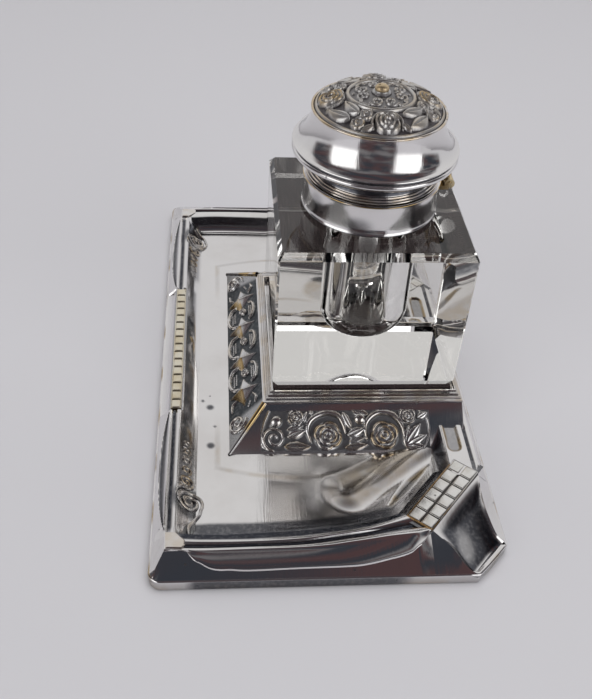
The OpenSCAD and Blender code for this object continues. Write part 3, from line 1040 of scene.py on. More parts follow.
@dataclass
class Finishes:
    """Every finish of the inkstand, made once."""

    made: dict[str, Material] = field(default_factory=dict)

    def __post_init__(self) -> None:
        """Makes the shared effects and all the materials."""
        effects = Effects()
        plans = [
            MetalFinish(
                "silver_plate", (0.80, 0.785, 0.785), (0.83, 0.81, 0.79), dark=(0.050, 0.054, 0.068),
                smooth=0.10, rough=0.2, clouding=0.4, speck_share=0.04,
            ),
            MetalFinish(
                "pewter_relief", (0.66, 0.655, 0.65), (0.80, 0.78, 0.76), dark=(0.150, 0.140, 0.148),
                smooth=0.33, rough=0.42, cloud_scale=90.0, speck_share=0.05, bump=0.15,
            ),
            MetalFinish(
                "rose_silver", (0.78, 0.775, 0.78), (0.84, 0.83, 0.82), dark=(0.135, 0.14, 0.155),
                smooth=0.15, rough=0.48, clouding=0.4, cloud_scale=90.0, speck_share=0.04,
            ),
            MetalFinish(
                "flower_silver", (0.74, 0.735, 0.74), (0.84, 0.83, 0.82), dark=(0.062, 0.070, 0.078),
                smooth=0.20, rough=0.34, clouding=0.4, cloud_scale=90.0, speck_share=0.04,
            ),
            MetalFinish(
                "worn_gilt", (0.74, 0.62, 0.42), (0.62, 0.50, 0.36), warm=(0.80, 0.62, 0.34), smooth=0.2,
                cloud_scale=110.0, speck_share=0.1,
            ),
            MetalFinish(
                "button_gilt", (0.72, 0.58, 0.38), (0.70, 0.60, 0.48), dark=(0.10, 0.08, 0.06),
                smooth=0.42, rough=0.5, cloud_scale=300.0, speck_share=0.3, bump=0.2,
            ),
            MetalFinish(
                "tile_silver", (0.82, 0.81, 0.79), (0.84, 0.82, 0.76), dark=(0.20, 0.19, 0.18),
                warm=(0.45, 0.28, 0.12), smooth=0.2, cloud_scale=160.0, speck_share=0.1, wear=1.3,
            ),
            MetalFinish(
                "ladder_brass", (0.82, 0.78, 0.67), (0.84, 0.77, 0.62), dark=(0.13, 0.10, 0.06),
                warm=(0.72, 0.58, 0.34), smooth=0.28, clouding=0.7, cloud_scale=140.0, speck_share=0.1,
            ),
            MetalFinish(
                "brass_fitting", (0.70, 0.58, 0.36), (0.50, 0.40, 0.28), smooth=0.25, clouding=0.8,
                cloud_scale=200.0, speck_share=0.1,
            ),
            GlassFinish("clear_glass"),
            MattFinish("plaster", (0.62, 0.58, 0.50), (0.44, 0.40, 0.34), 0.92, 1400.0, 0.3),
            MattFinish("seat_cloth", (0.035, 0.022, 0.022), (0.012, 0.008, 0.009), 0.95, 1800.0, 0.5, True),
            MattFinish("base_felt", (0.050, 0.075, 0.050), (0.025, 0.040, 0.026), 0.97, 2600.0, 0.6),
            MattFinish("base_board", (0.30, 0.20, 0.12), (0.16, 0.10, 0.06), 0.8, 500.0, 0.3),
        ]
        for plan in plans:
            self.made[plan.name] = plan.make(effects)

    def dress(self, obj: Piece, name: str) -> Piece:
        """Gives a piece one finish all over.

        Args:
            obj: The piece.
            name: The finish.

        Returns:
            The same piece.
        """
        material = self.made[name]
        if obj.material_slots:
            for slot in obj.material_slots:
                slot.material = material
        else:
            obj.data.materials.append(material)
        return obj

    def fit(self, obj: Piece, finish: str, body: Rides, slot: str, *nodes: str) -> None:
        """Dresses a finished piece and puts it in its place.

        Args:
            obj: The piece.
            finish: Its finish.
            body: The body it rides on.
            slot: Passed on; not used.
            nodes: The CAD nodes that it replaces.
        """
        place_piece(self.dress(obj, finish), body, slot, *nodes)

    def fit_pair(self, right: Piece, finish: str, slot: str, *nodes: str) -> None:
        """Copies a right-hand piece to the left and fits both on the base.

        Args:
            right: The piece on the right, with right in its name.
            finish: Their finish.
            slot: Passed on; not used.
            nodes: The CAD nodes that they replace, the right one first, or none.
        """
        left = mirrored(right, right.name.replace("right", "left"))
        self.fit(right, finish, Rides.BASE, slot, *nodes[:1])
        self.fit(left, finish, Rides.BASE, slot, *nodes[1:])


# ----------------------------------------------------------------- the tray


def along(points: Sequence[Point], value: Array) -> Array:
    """Reads a line given by points, with straight runs between them."""
    xs, ys = zip(*points)
    return np.interp(value, xs, ys)


def soft_along(points: Sequence[Point], value: Array) -> Array:
    """Reads a line given by points, with its corners softened."""
    line = flowing(points, 10)
    return np.interp(value, line[:, 0], line[:, 1])


def spaced(points: Sequence[Point], per_span: int) -> Iterator[Place]:
    """Walks along a soft curve and says each point's place and share of the way."""
    line = flowing(points, per_span)
    for (x, y), share in zip(line, np.linspace(0, 1, len(line))):
        yield x, y, share


def spread(knots: Sequence[float], step: float) -> Array:
    """Fills the spans between knots with evenly spaced values, the knots kept.

    Args:
        knots: Values that must be there, rising.
        step: Largest distance between neighbours.

    Returns:
        All the values.
    """
    out = [np.array([knots[0]])]
    for a, b in zip(knots, knots[1:]):
        n = max(1, math.ceil((b - a) / step))
        out.append(np.linspace(a, b, n + 1)[1:])
    return np.concatenate(out)


def rounded_corner(x: Array, y: Array) -> tuple[Array, Array]:
    """Rounds the tray's front corner in plan.

    Args:
        x: Places along X on the right half.
        y: Places along Y.

    Returns:
        The moved places.
    """
    mid_x, mid_y = HALF_LENGTH - CORNER, -(HALF_DEPTH - CORNER)
    a, b = x - mid_x, mid_y - y
    inside = (a > 0) & (b > 0)
    a, b = np.where(inside, a, 1.0), np.where(inside, b, 1.0)
    share = np.maximum(a, b) / np.hypot(a, b)
    return np.where(inside, mid_x + a * share, x), np.where(inside, mid_y - b * share, y)


@dataclass
class FrontRim:
    """The front rim's cross-section, read at any place along it."""

    ladder_end: float = 32.8
    flute_end: float = 82.0
    sweep_mid: float = 57.5
    lip_near: float = 1.5
    lip_far: float = 4.1

    def lip(self, x: Array) -> Array:
        """Distance of the outer lip from the front edge."""
        u = np.clip(np.abs(x - self.sweep_mid) / (self.sweep_mid - self.ladder_end), 0, 1)
        return self.lip_near + (self.lip_far - self.lip_near) * u**2.4

    def height(self, x: Array, d: Array) -> tuple[Array, Array]:
        """Height and dirt of the rim.

        Args:
            x: Place along the rim, on the right half.
            d: Distance behind the front edge.

        Returns:
            Height above the table and dirt from 0 to 1.
        """
        x, d = np.broadcast_arrays(np.asarray(x, float), np.asarray(d, float))
        lip = self.lip(x)
        lip_z = 5.2 + (lip - 1.5) * 1.0
        rise = FOOT_TOP + (lip_z - FOOT_TOP) * np.clip((d - 0.5) / np.maximum(lip - 0.5, 0.1), 0, 1) ** 0.85
        w = np.clip((d - lip) / np.maximum(4.0 - lip, 0.05), 0, 1)
        lens = lip_z - 0.5 * np.sin(np.pi * np.clip(w * 1.6, 0, 1)) + (8.0 - lip_z) * w**1.5
        ridges = [(4.0, 8.0), (4.5, 7.85), (5.1, 7.25), (5.55, 7.0), (6.1, 7.35), (6.7, 7.95), (7.1, 8.0)]
        inner = along([*ridges, (7.7, 7.75)], d)
        cove = self.cove(d)
        flute = np.select([d < 0.5, d < lip, d < 4.0, d < 7.7], [FOOT_TOP - 0.5 + d, rise, lens, inner], cove)
        start = [(0, FOOT_TOP - 0.4), (0.5, FOOT_TOP)]
        step = [(1.0, 4.1), (1.8, 4.6), (2.8, 5.5), (3.6, 6.7), (4.1, 7.1), (7.9, 7.1), (8.3, 6.8)]
        bed = np.where(d < 8.3, along([*start, *step], d), cove)
        plain = np.where(d < 8.0, along([*start, (4.6, 7.8), (8.6, 7.6)], d), cove)
        mid = ease(self.ladder_end - 0.2, self.ladder_end + 0.4, x)
        far = ease(80.5, 84.5, x)
        z = bed + (flute - bed) * mid
        z = z + (plain - z) * far
        crescent = ease(0.02, 0.2, w) * ease(0.98, 0.6, w) * (d < 4.0)
        groove = ease(4.7, 5.2, d) * ease(6.4, 5.9, d)
        dirt_and_shade = np.maximum(crescent * 0.9, groove * 0.95) * mid * (1 - far)
        return z, np.maximum(dirt_and_shade, 0.5 * ease(3.3, 3.9, d) * ease(8.6, 8.2, d) * (1 - mid))

    @staticmethod
    def cove(d: Array) -> Array:
        """Height of the inner cove."""
        start, end, top = 7.7, 13.4, 7.75
        u = np.clip((d - start) / (end - start), 0, 1)
        return FLOOR + (top - FLOOR) * (1 - u) ** 1.7


@dataclass
class TrayPressing:
    """The pressed tray: foot, four rims, bands, scooped corners and floor."""

    front: FrontRim
    band_near: Point = (78.8, 23.1)
    band_far: Point = (56.7, 41.7)
    band_width: float = 8.6
    band_top: float = 7.6
    ear_left: Place = (96.9, 40.9, 4.1)
    ear_right: Place = (86.5, 51.3, 4.6)

    def __post_init__(self) -> None:
        """Works out the band's outer corners."""
        a, b = Vector(self.band_near), Vector(self.band_far)
        run = (b - a).normalized()
        out = Vector((-run.y, run.x)) * -self.band_width
        self.out_near: Point = tuple(a + out)
        self.out_far: Point = tuple(b + out)

    # -- end rim -----------------------------------------------------------
    @staticmethod
    def end_lines() -> dict[str, list[Point]]:
        """The lines pressed along the end rim, from the foot inwards.

        Returns:
            For each line its points (place along Y, distance from the tray's end).
        """
        return {
            "foot": [(-52.0, 0.5), (29.3, 0.5)],
            "lip": [
                (-48.2, 7.9), (-42.3, 7.9), (-40.6, 6.5), (-39.2, 5.2), (-37.8, 4.6), (-35, 3.2),
                (-32.2, 2.75), (-29.4, 2.75), (-23.8, 2.45), (-9.7, 2.75), (4.6, 2.95), (10.4, 3.45),
                (16.4, 4.6), (19.4, 5.2), (22.5, 6.1), (24.1, 7.1), (26, 8.5), (27.5, 10.2), (28.6, 12.0),
                (29.3, 13.4),
            ],
            "outer_ridge": [
                (-48, 8.3), (-37.8, 7.7), (-23.7, 7.9), (-9.5, 8.2), (-0.8, 8.8), (5.1, 9.7), (11, 10.6),
                (17, 11.6), (23, 12.3), (26, 12.7), (29.8, 13.4),
            ],
            "groove": [
                (-46.5, 9.9), (-35, 9.7), (-23.6, 9.8), (-9.3, 10.1), (5.4, 12.2), (14.4, 13.6), (21, 14.9),
                (26.8, 15.6),
            ],
            "inner_ridge": [
                (-45.7, 11.4), (-37.9, 10.8), (-23.6, 10.6), (-9.2, 11.3), (-0.5, 12.4), (5.5, 13.2),
                (11.5, 14.4), (17.7, 16.4), (23.1, 18.7),
            ],
            "shoulder": [
                (-43.9, 14.2), (-35, 13.5), (-23.5, 13.7), (-8.9, 14.4), (5.9, 15.9), (12, 17.0), (17, 18.5),
                (21.5, 20.2),
            ],
            "edge": [
                (-39.1, 18.9), (-35, 19.2), (-23.3, 19.1), (-8.4, 19.8), (6.9, 21.4), (13.1, 22.6),
                (19.0, 24.4),
            ],
        }

    def end_rim(self) -> Sheet:
        """The end rim from the foot to the floor.

        Returns:
            The sheet.
        """
        u = np.linspace(0, 1, 150)
        heights = (FOOT_TOP, 0.0, 8.0, 7.3, 8.0, 7.4, FLOOR)
        knots = []
        for points, height in zip(self.end_lines().values(), heights):
            line = flowing(points, 12)
            y = points[0][0] + (points[-1][0] - points[0][0]) * u
            knots.append([np.interp(y, line[:, 0], line[:, 1]), y, np.full_like(u, height)])
        foot, lip, outer, groove, inner, shoulder, edge = knots
        lip[2] = np.minimum(FOOT_TOP + 0.48 * (lip[0] - 0.5), 7.55)
        wide = np.clip((outer[0] - lip[0]) / 3.0, 0, 1)
        rows: list[Row] = []

        def add(a: Row, b: Row, share: float, rise: float, dirt_and_shade: object = 0.0, bead: object = 0.0) -> None:
            """Puts one row between two lines."""
            dist, y = (a[k] + (b[k] - a[k]) * share for k in (0, 1))
            rows.append((dist, y, a[2] + (b[2] - a[2]) * rise + bead, dirt_and_shade + 0 * u))

        for w in np.linspace(0, 1, 5):
            add(foot, lip, w, w)
        for w, bead in ((0.03, 0.35), (0.07, 0.42)):
            add(lip, outer, w, 0.05, bead=bead * wide)
        for w in (0.13, 0.17, 0.25, 0.35, 0.45, 0.55, 0.65, 0.75, 0.83, 0.89):
            add(lip, outer, w, 0.9 * max(0.0, (w - 0.1) / 0.8) ** 1.55, 0.25 * wide * (w < 0.2))
        for w, rise in ((0.93, 0.93), (0.965, 0.985), (1.0, 1.0)):
            add(lip, outer, w, rise)
        down = ((0.3, 0.06, 0.0), (0.5, 0.35, 0.3), (0.7, 0.8, 0.8), (0.85, 0.98, 1.0), (1.0, 1.0, 1.0))
        up = ((0.2, 0.05, 0.9), (0.4, 0.35, 0.5), (0.6, 0.8, 0.1), (0.8, 0.97, 0.0), (1.0, 1.0, 0.0))
        for a, b, steps in ((outer, groove, down), (groove, inner, up)):
            for w, rise, dirt_and_shade in steps:
                add(a, b, w, rise, dirt_and_shade)
        # painted shade: a dark line at the shoulder and a dark band down the top of the cove
        for w in (0.12, 0.22, 0.34, 0.5, 0.7, 0.85, 1.0):
            add(inner, shoulder, w, w**1.3, 0.7 * (w > 0.9))
        for w in (0.03, 0.06, 0.1, 0.14, 0.18, 0.23, 0.28, 0.34, 0.42, 0.5, 0.6, 0.7, 0.8, 0.9, 1.0):
            add(shoulder, edge, w, 1 - (1 - w) ** 3.0, 0.88 * float(ease(0.6, 0.2, np.array(w))))
        dist, y, z, dirt_and_shade = rows[-1]
        rows.append((dist + 1.0, y, z - TUCK, dirt_and_shade))
        dist, y, z, dirt_and_shade = (np.array([row[k] for row in rows]).T for k in range(4))
        x, y = rounded_corner(HALF_LENGTH - dist, y)
        sheet = Sheet("end_rim", len(u), len(rows))
        sheet.press(x, y, z)
        sheet.age(dirt_and_shade)
        return sheet

    # -- front rim ---------------------------------------------------------
    def front_rim(self) -> Sheet:
        """The front rim, from the middle to the mitre at the corner.

        Returns:
            The sheet.
        """
        d = spread([0.5, 1.0, 1.5, 3.6, 4.0, 4.5, 5.1, 6.1, 6.7, 7.1, 7.7, 8.3, 13.4], 0.22)
        mitre = [(0.5, 0.5), (4.6, 8.3), (6.0, 9.9), (6.8, 11.4), (8.6, 14.2), (13.4, 18.9)]
        end = HALF_LENGTH - along(mitre, d)
        ladder = 0.42
        share = np.concatenate(
            [np.linspace(0, 0.36, 12)[:-1], np.linspace(0.36, ladder, 12)[:-1], np.linspace(ladder, 1, 150)]
        )[:, None]
        cut = ladder * self.front.flute_end
        past = cut + (share - ladder) / (1 - ladder) * (end - cut)
        x = np.where(share < ladder, share * self.front.flute_end, past)
        z, dirt_and_shade = self.front.height(x, d[None, :])
        edge = along([(0.5, FOOT_TOP), (4.6, 7.9), (6.0, 7.5), (6.8, 7.9), (8.6, 7.4)], d)
        edge = np.where(d > 8.6, FLOOR + 4.8 * np.clip(1 - (d - 8.6) / 4.8, 0, 1) ** 3.0, edge)
        z = z + (edge - z) * ease(5.0, 0.5, end - x) - TUCK * ease(13.1, 13.4, d)
        y = np.broadcast_to(-HALF_DEPTH + d, x.shape)
        coil_x, coil_y = 69.4, -41.2
        right = x - coil_x
        scroll = 0.75 * ease(7.2, 4.4, np.hypot(right, y - coil_y)) * ease(-37.0, -40.0, y - 0.12 * right)
        chain = 0.45 * ease(3.0, 1.4, np.abs(y + 42.4)) * ease(41.0, 46.0, x) * ease(66.0, 62.0, x)
        beside = 0.5 * ease(1.6, 0.4, np.abs(y + 42.2)) * ease(37.0, 34.0, x) * ease(6.0, 14.0, x)
        dirt_and_shade = np.maximum.reduce([dirt_and_shade, scroll, chain, beside])
        x, y = rounded_corner(x, y)
        sheet = Sheet("front_rim", len(share), len(d))
        sheet.press(x, y, z)
        sheet.age(dirt_and_shade)
        return sheet

    # -- back rim ----------------------------------------------------------
    def back_rim(self) -> Sheet:
        """The back rim with its thin groove and recessed panels.

        Returns:
            The sheet.
        """
        e = spread([0.5, 0.9, 2.5, 3.1, 4.2, 4.6, 5.2, 5.6, 7.4, 7.8, 11.2, 11.6, 12.8, 17.4], 0.35)
        x = spread([0.0, 35.5, 36.3, 52.0, 54.4, self.out_far[0] + 1.0], 0.6)[:, None]
        rise = [(0.5, FOOT_TOP), (0.9, FOOT_TOP + 0.2), (2.5, 7.2), (3.1, 7.8), (4.2, 7.8), (4.6, 7.2)]
        z = along([*rise, (5.2, 7.2), (5.6, 7.9), (6.0, 8.0), (12.5, 8.0), (12.8, 7.9)], e)
        cove = FLOOR + (7.9 - FLOOR) * (1 - np.clip((e - 12.8) / 4.6, 0, 1)) ** 2.6
        z = np.where(e < 12.8, z, cove) - TUCK * ease(17.1, 17.4, e)
        panel_x, panel_e, half_length, half_width, rounding = 44.0, 9.5, 7.2, 0.2, 1.9
        a, b = np.abs(x - panel_x) - half_length, np.abs(e - panel_e) - half_width
        inset = np.hypot(np.maximum(a, 0), np.maximum(b, 0)) - rounding
        hollow = ease(0.25, -0.35, inset)
        plain = along([(0.5, FOOT_TOP), (4.2, 7.6), (12.5, 7.6)], e)
        meets = ease(self.out_far[0] - 3.5, self.out_far[0] - 0.5, x) * (e < 6.0)
        height = z - 0.55 * hollow
        height = height + (np.minimum(height, plain) - height) * meets
        groove = ease(4.25, 4.6, e) * ease(5.6, 5.2, e)
        rim = ease(0.5, 0.1, inset) * ease(-0.7, -0.2, inset)
        # painted shade: a dark band down the cove to the floor
        stain_and_shade = 0.88 * ease(12.9, 13.3, e) * ease(16.6, 14.6, e)
        long_dirt_and_shade, panel_dirt = np.maximum(0.9 * groove, stain_and_shade), np.maximum(0.35 * rim, 0.5 * hollow)
        sheet = Sheet("back_rim", len(x), len(e))
        sheet.press(x, HALF_DEPTH - e, height)
        sheet.age(np.maximum(long_dirt_and_shade, panel_dirt), 0.8 * rim)
        return sheet

    # -- tile band bed -----------------------------------------------------
    def band_bed(self) -> Sheet:
        """The slanting bed under the tiles and the cove inside it.

        Returns:
            The sheet.
        """
        a, b = np.array(self.band_near), np.array(self.band_far)
        run = (b - a) / np.linalg.norm(b - a)
        inward = np.array([-run[1], run[0]])
        inward = inward if inward @ np.array([-1.0, -1.0]) > 0 else -inward
        q = np.concatenate([np.linspace(-self.band_width - 0.3, 0.0, 6), np.linspace(0.25, 6.4, 18)])
        s = np.linspace(-1.5, np.linalg.norm(b - a) + 3.5, 60)
        x, y = (a[k] + run[k] * s[:, None] + inward[k] * q for k in (0, 1))
        low = FLOOR - 0.3
        cove = low + (self.band_top - low) * (1 - np.clip((q - 0.2) / 6.2, 0, 1)) ** 3.0
        sheet = Sheet("band_bed", len(s), len(q))
        sheet.press(x, y, np.where(q < 0.2, self.band_top, cove))
        # painted shade: dark under the tiles and down the cove beside them
        sheet.age(np.where(q < 0.1, 0.8, 0.88 * ease(0.3, 0.9, q) * ease(6.2, 4.2, q)))
        return sheet

    # -- scooped corner ----------------------------------------------------
    def scoop(self) -> list[Sheet]:
        """The spout-like hollow of the back corner and the facets beside it.

        Returns:
            The hollow, the facet towards the end and the facet towards the back.
        """
        u, v = np.linspace(0, 1, 61), np.linspace(0, 1, 49)
        top = self.band_top
        left = [(84.2, 30.0, top), (89.3, 34.6, 6.6), (92.9, 36.8, 5.7), (95.7, 39.1, 4.6), self.ear_left]
        right = [(63.0, 48.3, top), (72.6, 47.8, 7.0), (79.5, 48.6, 6.0), (84.3, 49.8, 5.0), self.ear_right]
        lip = [self.ear_left, (95.4, 41.6, 4.0), (92.0, 44.6, 3.95), (88.5, 47.9, 4.1), self.ear_right]
        lo, hi = at_share(flowing(left, 12), v), at_share(flowing(right, 12), v)
        out = at_share(flowing(lip, 16), u)
        near = [a + (b - a) * u for a, b in zip(self.out_near, self.out_far)] + [top + 0 * u]
        U, V = u[:, None], v[None, :]
        grid = []
        for k in range(3):
            ruled = (1 - U) * lo[k] + U * hi[k]
            cross = (1 - V) * near[k][:, None] + V * out[k][:, None]
            inner = (1 - U) * (1 - V) * near[k][0] + U * (1 - V) * near[k][-1]
            outer = (1 - U) * V * out[k][0] + U * V * out[k][-1]
            grid.append(ruled + cross - (inner + outer))
        x, y, z = grid
        bottom = FLOOR + 2.9 * (1 - V) ** 1.3
        depth = ease(0.0, 0.20, V) * (1 - np.abs(2 * U - 1) ** 3.0) ** 0.8
        hollow = Sheet("scoop", len(u), len(v))
        hollow.press(x, y, z - (z - bottom) * np.clip(depth, 0, 1))
        # painted shade fills the hollow, lightened by a painted highlight (the glint) in its middle
        glint = ease(0.34, 0.12, np.hypot((U - 0.34) * 1.4, V - 0.45))
        edges = ease(0.02, 0.10, V) * ease(1.0, 0.88, V) * ease(0.02, 0.12, U) * ease(0.99, 0.93, U)
        hollow.age((0.9 - 0.35 * glint) * edges)
        start = 29.0
        lo = np.column_stack([(84.0, start, top), lo])
        foot_y = np.concatenate([[start], 29.3 + (41.6 - 29.3) * v])
        foot_end = [97.0 + 0 * foot_y, foot_y, FOOT_TOP + 0 * foot_y]
        foot_back = [61.0 + (87.2 - 61.0) * v, 52.0 + 0 * v, FOOT_TOP + 0 * v]
        return [hollow, self.facet("end_facet", lo, foot_end), self.facet("back_facet", hi, foot_back)]

    @staticmethod
    def facet(name: str, top: Array, foot: Sequence[Array]) -> Sheet:
        """A plain slope between a crease and the foot.

        Args:
            name: The sheet's name.
            top: Points of the crease, one column each.
            foot: Points of the foot line, in the same order.

        Returns:
            The sheet.
        """
        w = np.linspace(0, 1, 5)
        sheet = Sheet(name, top.shape[1], len(w))
        sheet.press(*(a[:, None] + (b - a)[:, None] * w for a, b in zip(top, foot)))
        sheet.age(0.0)
        return sheet

    # -- foot flange -------------------------------------------------------
    def outline(self) -> tuple[Array, Array]:
        """The foot's outline on the right half and its outward direction.

        Returns:
            Points and unit normals, from the front middle to the back middle.
        """
        pts: list[Point] = [(x, -HALF_DEPTH) for x in np.linspace(0, HALF_LENGTH - CORNER, 30)]
        pts += arc((HALF_LENGTH - CORNER, CORNER - HALF_DEPTH), CORNER, 7.5 - 90, 0, 12)
        pts += [(HALF_LENGTH, y) for y in np.linspace(CORNER - HALF_DEPTH, 42.0, 30)[1:]]
        pts += [(96.9, 42.7), (94.5, 45.3), (91.0, 48.8), (88.2, 51.4), (87.0, HALF_DEPTH)]
        pts += [(x, HALF_DEPTH) for x in np.linspace(87.0, 0, 30)[1:]]
        p = np.array(pts)
        step = np.gradient(p, axis=0)
        out = np.column_stack([step[:, 1], -step[:, 0]])
        out /= np.linalg.norm(out, axis=1)[:, None]
        out[0], out[-1] = (0, -1), (0, 1)
        return p, out

    def foot(self) -> Sheet:
        """The upright foot with its small bead on top.

        Returns:
            The sheet.
        """
        p, out = self.outline()
        bead = 0.12
        section = [(-0.9, 2.0), (-0.9, 0.3), (-0.15, 0.3), (0.0, 0.42), (0.0, 3.2), (0.10, 3.4), (bead, 3.6)]
        section += [(0.0, 3.82), (-0.2, 3.98), (-0.5, 4.02), (-0.8, 3.96), (-1.4, 3.8)]
        offset, z = np.array(section).T
        x, y = (p[:, k][:, None] + out[:, k][:, None] * (offset - bead) for k in (0, 1))
        sheet = Sheet("foot", len(p), len(section))
        sheet.press(x, y, z)
        # painted shade, warm-tinted, low on the foot where it meets the table
        low = 0.3 * ease(1.2, 0.3, z)
        worn = ease(0.35, 0.8, np.sin(x * 0.31 + 1.0) * np.sin(y * 0.43 + 2.0)) * ease(0.2, 1.0, z)
        sheet.age(np.maximum(low, 0.3 * worn), np.maximum(low, 0.6 * worn))
        return sheet

    # -- floor -------------------------------------------------------------
    def floor_height(self, x: Array, y: Array) -> tuple[Array, Array]:
        """Height and painted shade of the floor: plinth, swelling towards the corner and groove beside the
        band.

        Args:
            x: Places along X on the right half.
            y: Places along Y.

        Returns:
            The heights and the painted shade from 0 to 1.
        """
        crest = [
            (64.4, 7.6), (61.0, 13.0), (57.2, 18.6), (53.4, 24.0), (49.8, 29.2), (46.6, 34.0),
            (44.4, 37.5),
        ]
        swelling = np.zeros(x.shape)
        for px, py, q in spaced(crest, 8):
            away = np.hypot(x - px, y - py) / (9.4 - 4.0 * q)
            swelling = np.maximum(swelling, (0.95 + 0.35 * q) * np.clip(1 - away**2, 0, 1) ** 2.0)
        side = [(-34.0, 54.0), (-29.6, 55.4), (-20.0, 57.6), (-7.4, 58.9), (4.0, 57.4), (12.0, 54.0)]
        gap = np.minimum(soft_along([*side, (20.0, 50.0), (36.0, 44.0)], y) - x, y + 33.0)
        plinth = 0.16 * ease(-1.6, 1.6, gap)
        # painted shade: a dark line along the plinth's edge
        line = 0.13 * ease(1.3, 0.2, np.abs(gap)) * ease(30.0, 45.0, x) * ease(12.0, -10.0, y)
        lens = np.full(x.shape, 9.0)
        for px, py, q in spaced([(71.4, 19.2), (66.0, 23.6), (60.4, 28.6), (54.6, 34.3)], 10):
            lens = np.minimum(lens, np.hypot(x - px, y - py) / (0.35 + 1.1 * math.sin(math.pi * q)))
        groove = ease(1.0, 0.4, lens)
        # all painted: the plinth line, a painted dark reflection in the lens-shaped groove and a darker
        # painted tone over the swelling
        dirt_and_shade = np.maximum.reduce([line, 0.7 * groove, 0.22 * ease(0.05, 0.55, swelling)])
        return FLOOR + np.maximum(swelling, plinth) - 0.3 * groove, dirt_and_shade

    def floor(self) -> Sheet:
        """The flat floor.

        Returns:
            The sheet.
        """
        x = np.concatenate([np.linspace(0, 22, 10)[:-1], np.linspace(22, 79.2, 116)])
        y = np.concatenate([np.linspace(-39.4, -33.0, 16)[:-1], np.linspace(-33.0, 40.5, 120)])
        X, Y = np.meshgrid(x, y, indexing="ij")
        z, dirt_and_shade = self.floor_height(X, Y)
        sheet = Sheet("floor", len(x), len(y))
        sheet.press(X, Y, z)
        # the floor's painted shade also tints it warm
        sheet.age(dirt_and_shade, 1.5 * dirt_and_shade)
        return sheet

    def pit(self, half: Piece) -> None:
        """Marks the pits in the plating of one half's floor, and paints shade in dark bands along its end
        rim.

        Args:
            half: The half of the tray.
        """
        x, y, z = places(half).T
        grime = marks(half, "grime")
        on_floor = z <= FLOOR + 0.6
        for px, py, r in ((27.0, -35.4, 1.7), (44.6, -35.1, 1.8), (36.0, -33.8, 0.7), (23.9, -37.9, 0.8)):
            grime = np.maximum(grime, 0.85 * ease(r, r * 0.4, np.hypot(x - px, y - py)) * on_floor)
        lines = self.end_lines()
        ridge, shoulder, edge = (along(lines[name], y) for name in ("inner_ridge", "shoulder", "edge"))
        dist = HALF_LENGTH - x
        # painted shade: dark bands in the end rim's cove and on its inner slope
        cove = ease(2.8, 1.5, dist - edge) * (z < FLOOR + 1.2) * (x > 60)
        cove = cove * ease(25.0, 18.0, y) * ease(-42.0, -39.0, y)
        share = (dist - ridge) / (shoulder - ridge)
        slope = ease(0.12, 0.36, share) * ease(1.4, 1.05, share) * (z > 7.0) * ease(-46.0, -43.0, y)
        grime = np.maximum.reduce([grime, 0.85 * cove, 0.97 * slope * ease(24.0, 21.0, y)])
        keep(half, "grime", grime)

    def build(self, finishes: Finishes) -> None:
        """Presses the right half, copies it to the left and hangs both on the base.

        Args:
            finishes: The finishes.
        """
        sheets = [self.floor(), self.front_rim(), self.end_rim(), self.back_rim(), self.band_bed()]
        sheets += [*self.scoop(), self.foot()]
        right = join([sheet.obj for sheet in sheets], "tray_right_half")
        left = mirrored(right, "tray_left_half")
        self.pit(right)
        for half in (right, left):
            smooth(half, 38)
            finishes.dress(half, "silver_plate")
        tray = join([right, left], "pressed_tray")
        place_piece(tray, Rides.BASE, "silver_plate", "tray_shell")
        log.info("pressed tray: foot, rims, scoops and floor")


# ------------------------------------------------------------------ the trim


@contextmanager
def picked_faces(obj: Piece, way: float) -> Iterator[None]:
    """Opens a piece for the edit operators with its level faces picked.

    Args:
        obj: The piece.
        way: 1 for the faces that look up, -1 for those that look down.

    Yields:
        Nothing; what is done in between acts on those faces.
    """
    with editing(obj, "FACE", "DESELECT"):
        bpy.ops.object.mode_set(mode="OBJECT")
        for polygon in obj.data.polygons:
            polygon.select = polygon.normal.z * way > 0.9
        bpy.ops.object.mode_set(mode="EDIT")
        yield


def inset_top(obj: Piece, width: float, depth: float) -> None:
    """Insets a block's upward faces and moves them down or up.

    Args:
        obj: The block.
        width: Width of the margin in millimetres.
        depth: How far the inset face moves, in millimetres, down where negative.
    """
    with picked_faces(obj, 1.0):
        bpy.ops.mesh.inset(thickness=width * MM, depth=0.0)
        bpy.ops.transform.translate(value=(0, 0, depth * MM))


def cushion_tile(name: str, size: tuple[float, float], top: float, height: float) -> Piece:
    """One small tile with bevelled edges and a faintly crowned top.

    Args:
        name: The piece's name.
        size: Its plan size in millimetres.
        top: Height of its top.
        height: Its thickness.

    Returns:
        The tile, centred on the origin in plan.
    """
    half = [s / 2 for s in size]
    crown = 0.14
    tile = bar(name, (-half[0], -half[1], top - height), (half[0], half[1], top - crown))
    inset_top(tile, 0.32, crown)
    return round_edges(tile, 0.10)


def moved_copy(obj: Piece, name: str, x: float, y: float, turn: float = 0.0) -> Piece:
    """Copies a piece, turns it about the upright axis and moves it.

    Args:
        obj: The model.
        name: The copy's name.
        x: Move along X in millimetres.
        y: Move along Y.
        turn: Turn in degrees, anticlockwise from above.

    Returns:
        The copy, with its own mesh.
    """
    only(obj)
    bpy.ops.object.duplicate()
    copy = fresh(name)
    copy.rotation_euler = (0.0, 0.0, math.radians(turn))
    copy.location = (x * MM, y * MM, 0.0)
    return settle(copy)


def shade_hollows(obj: Piece, low: float, high: float, rub: float = 0.0) -> None:
    """Paints shade on a block's lower parts, darker towards the bottom where it meets what it stands on, and
    marks wear on its upper edges.

    Args:
        obj: The piece.
        low: Height where the painted shade is darkest, in millimetres.
        high: Height where the painted shade ends.
        rub: How worn the top is.
    """
    z = places(obj)[:, 2]
    keep(obj, "grime", ease(high, low, z))
    keep(obj, "rub", rub * ease(low, high, z))


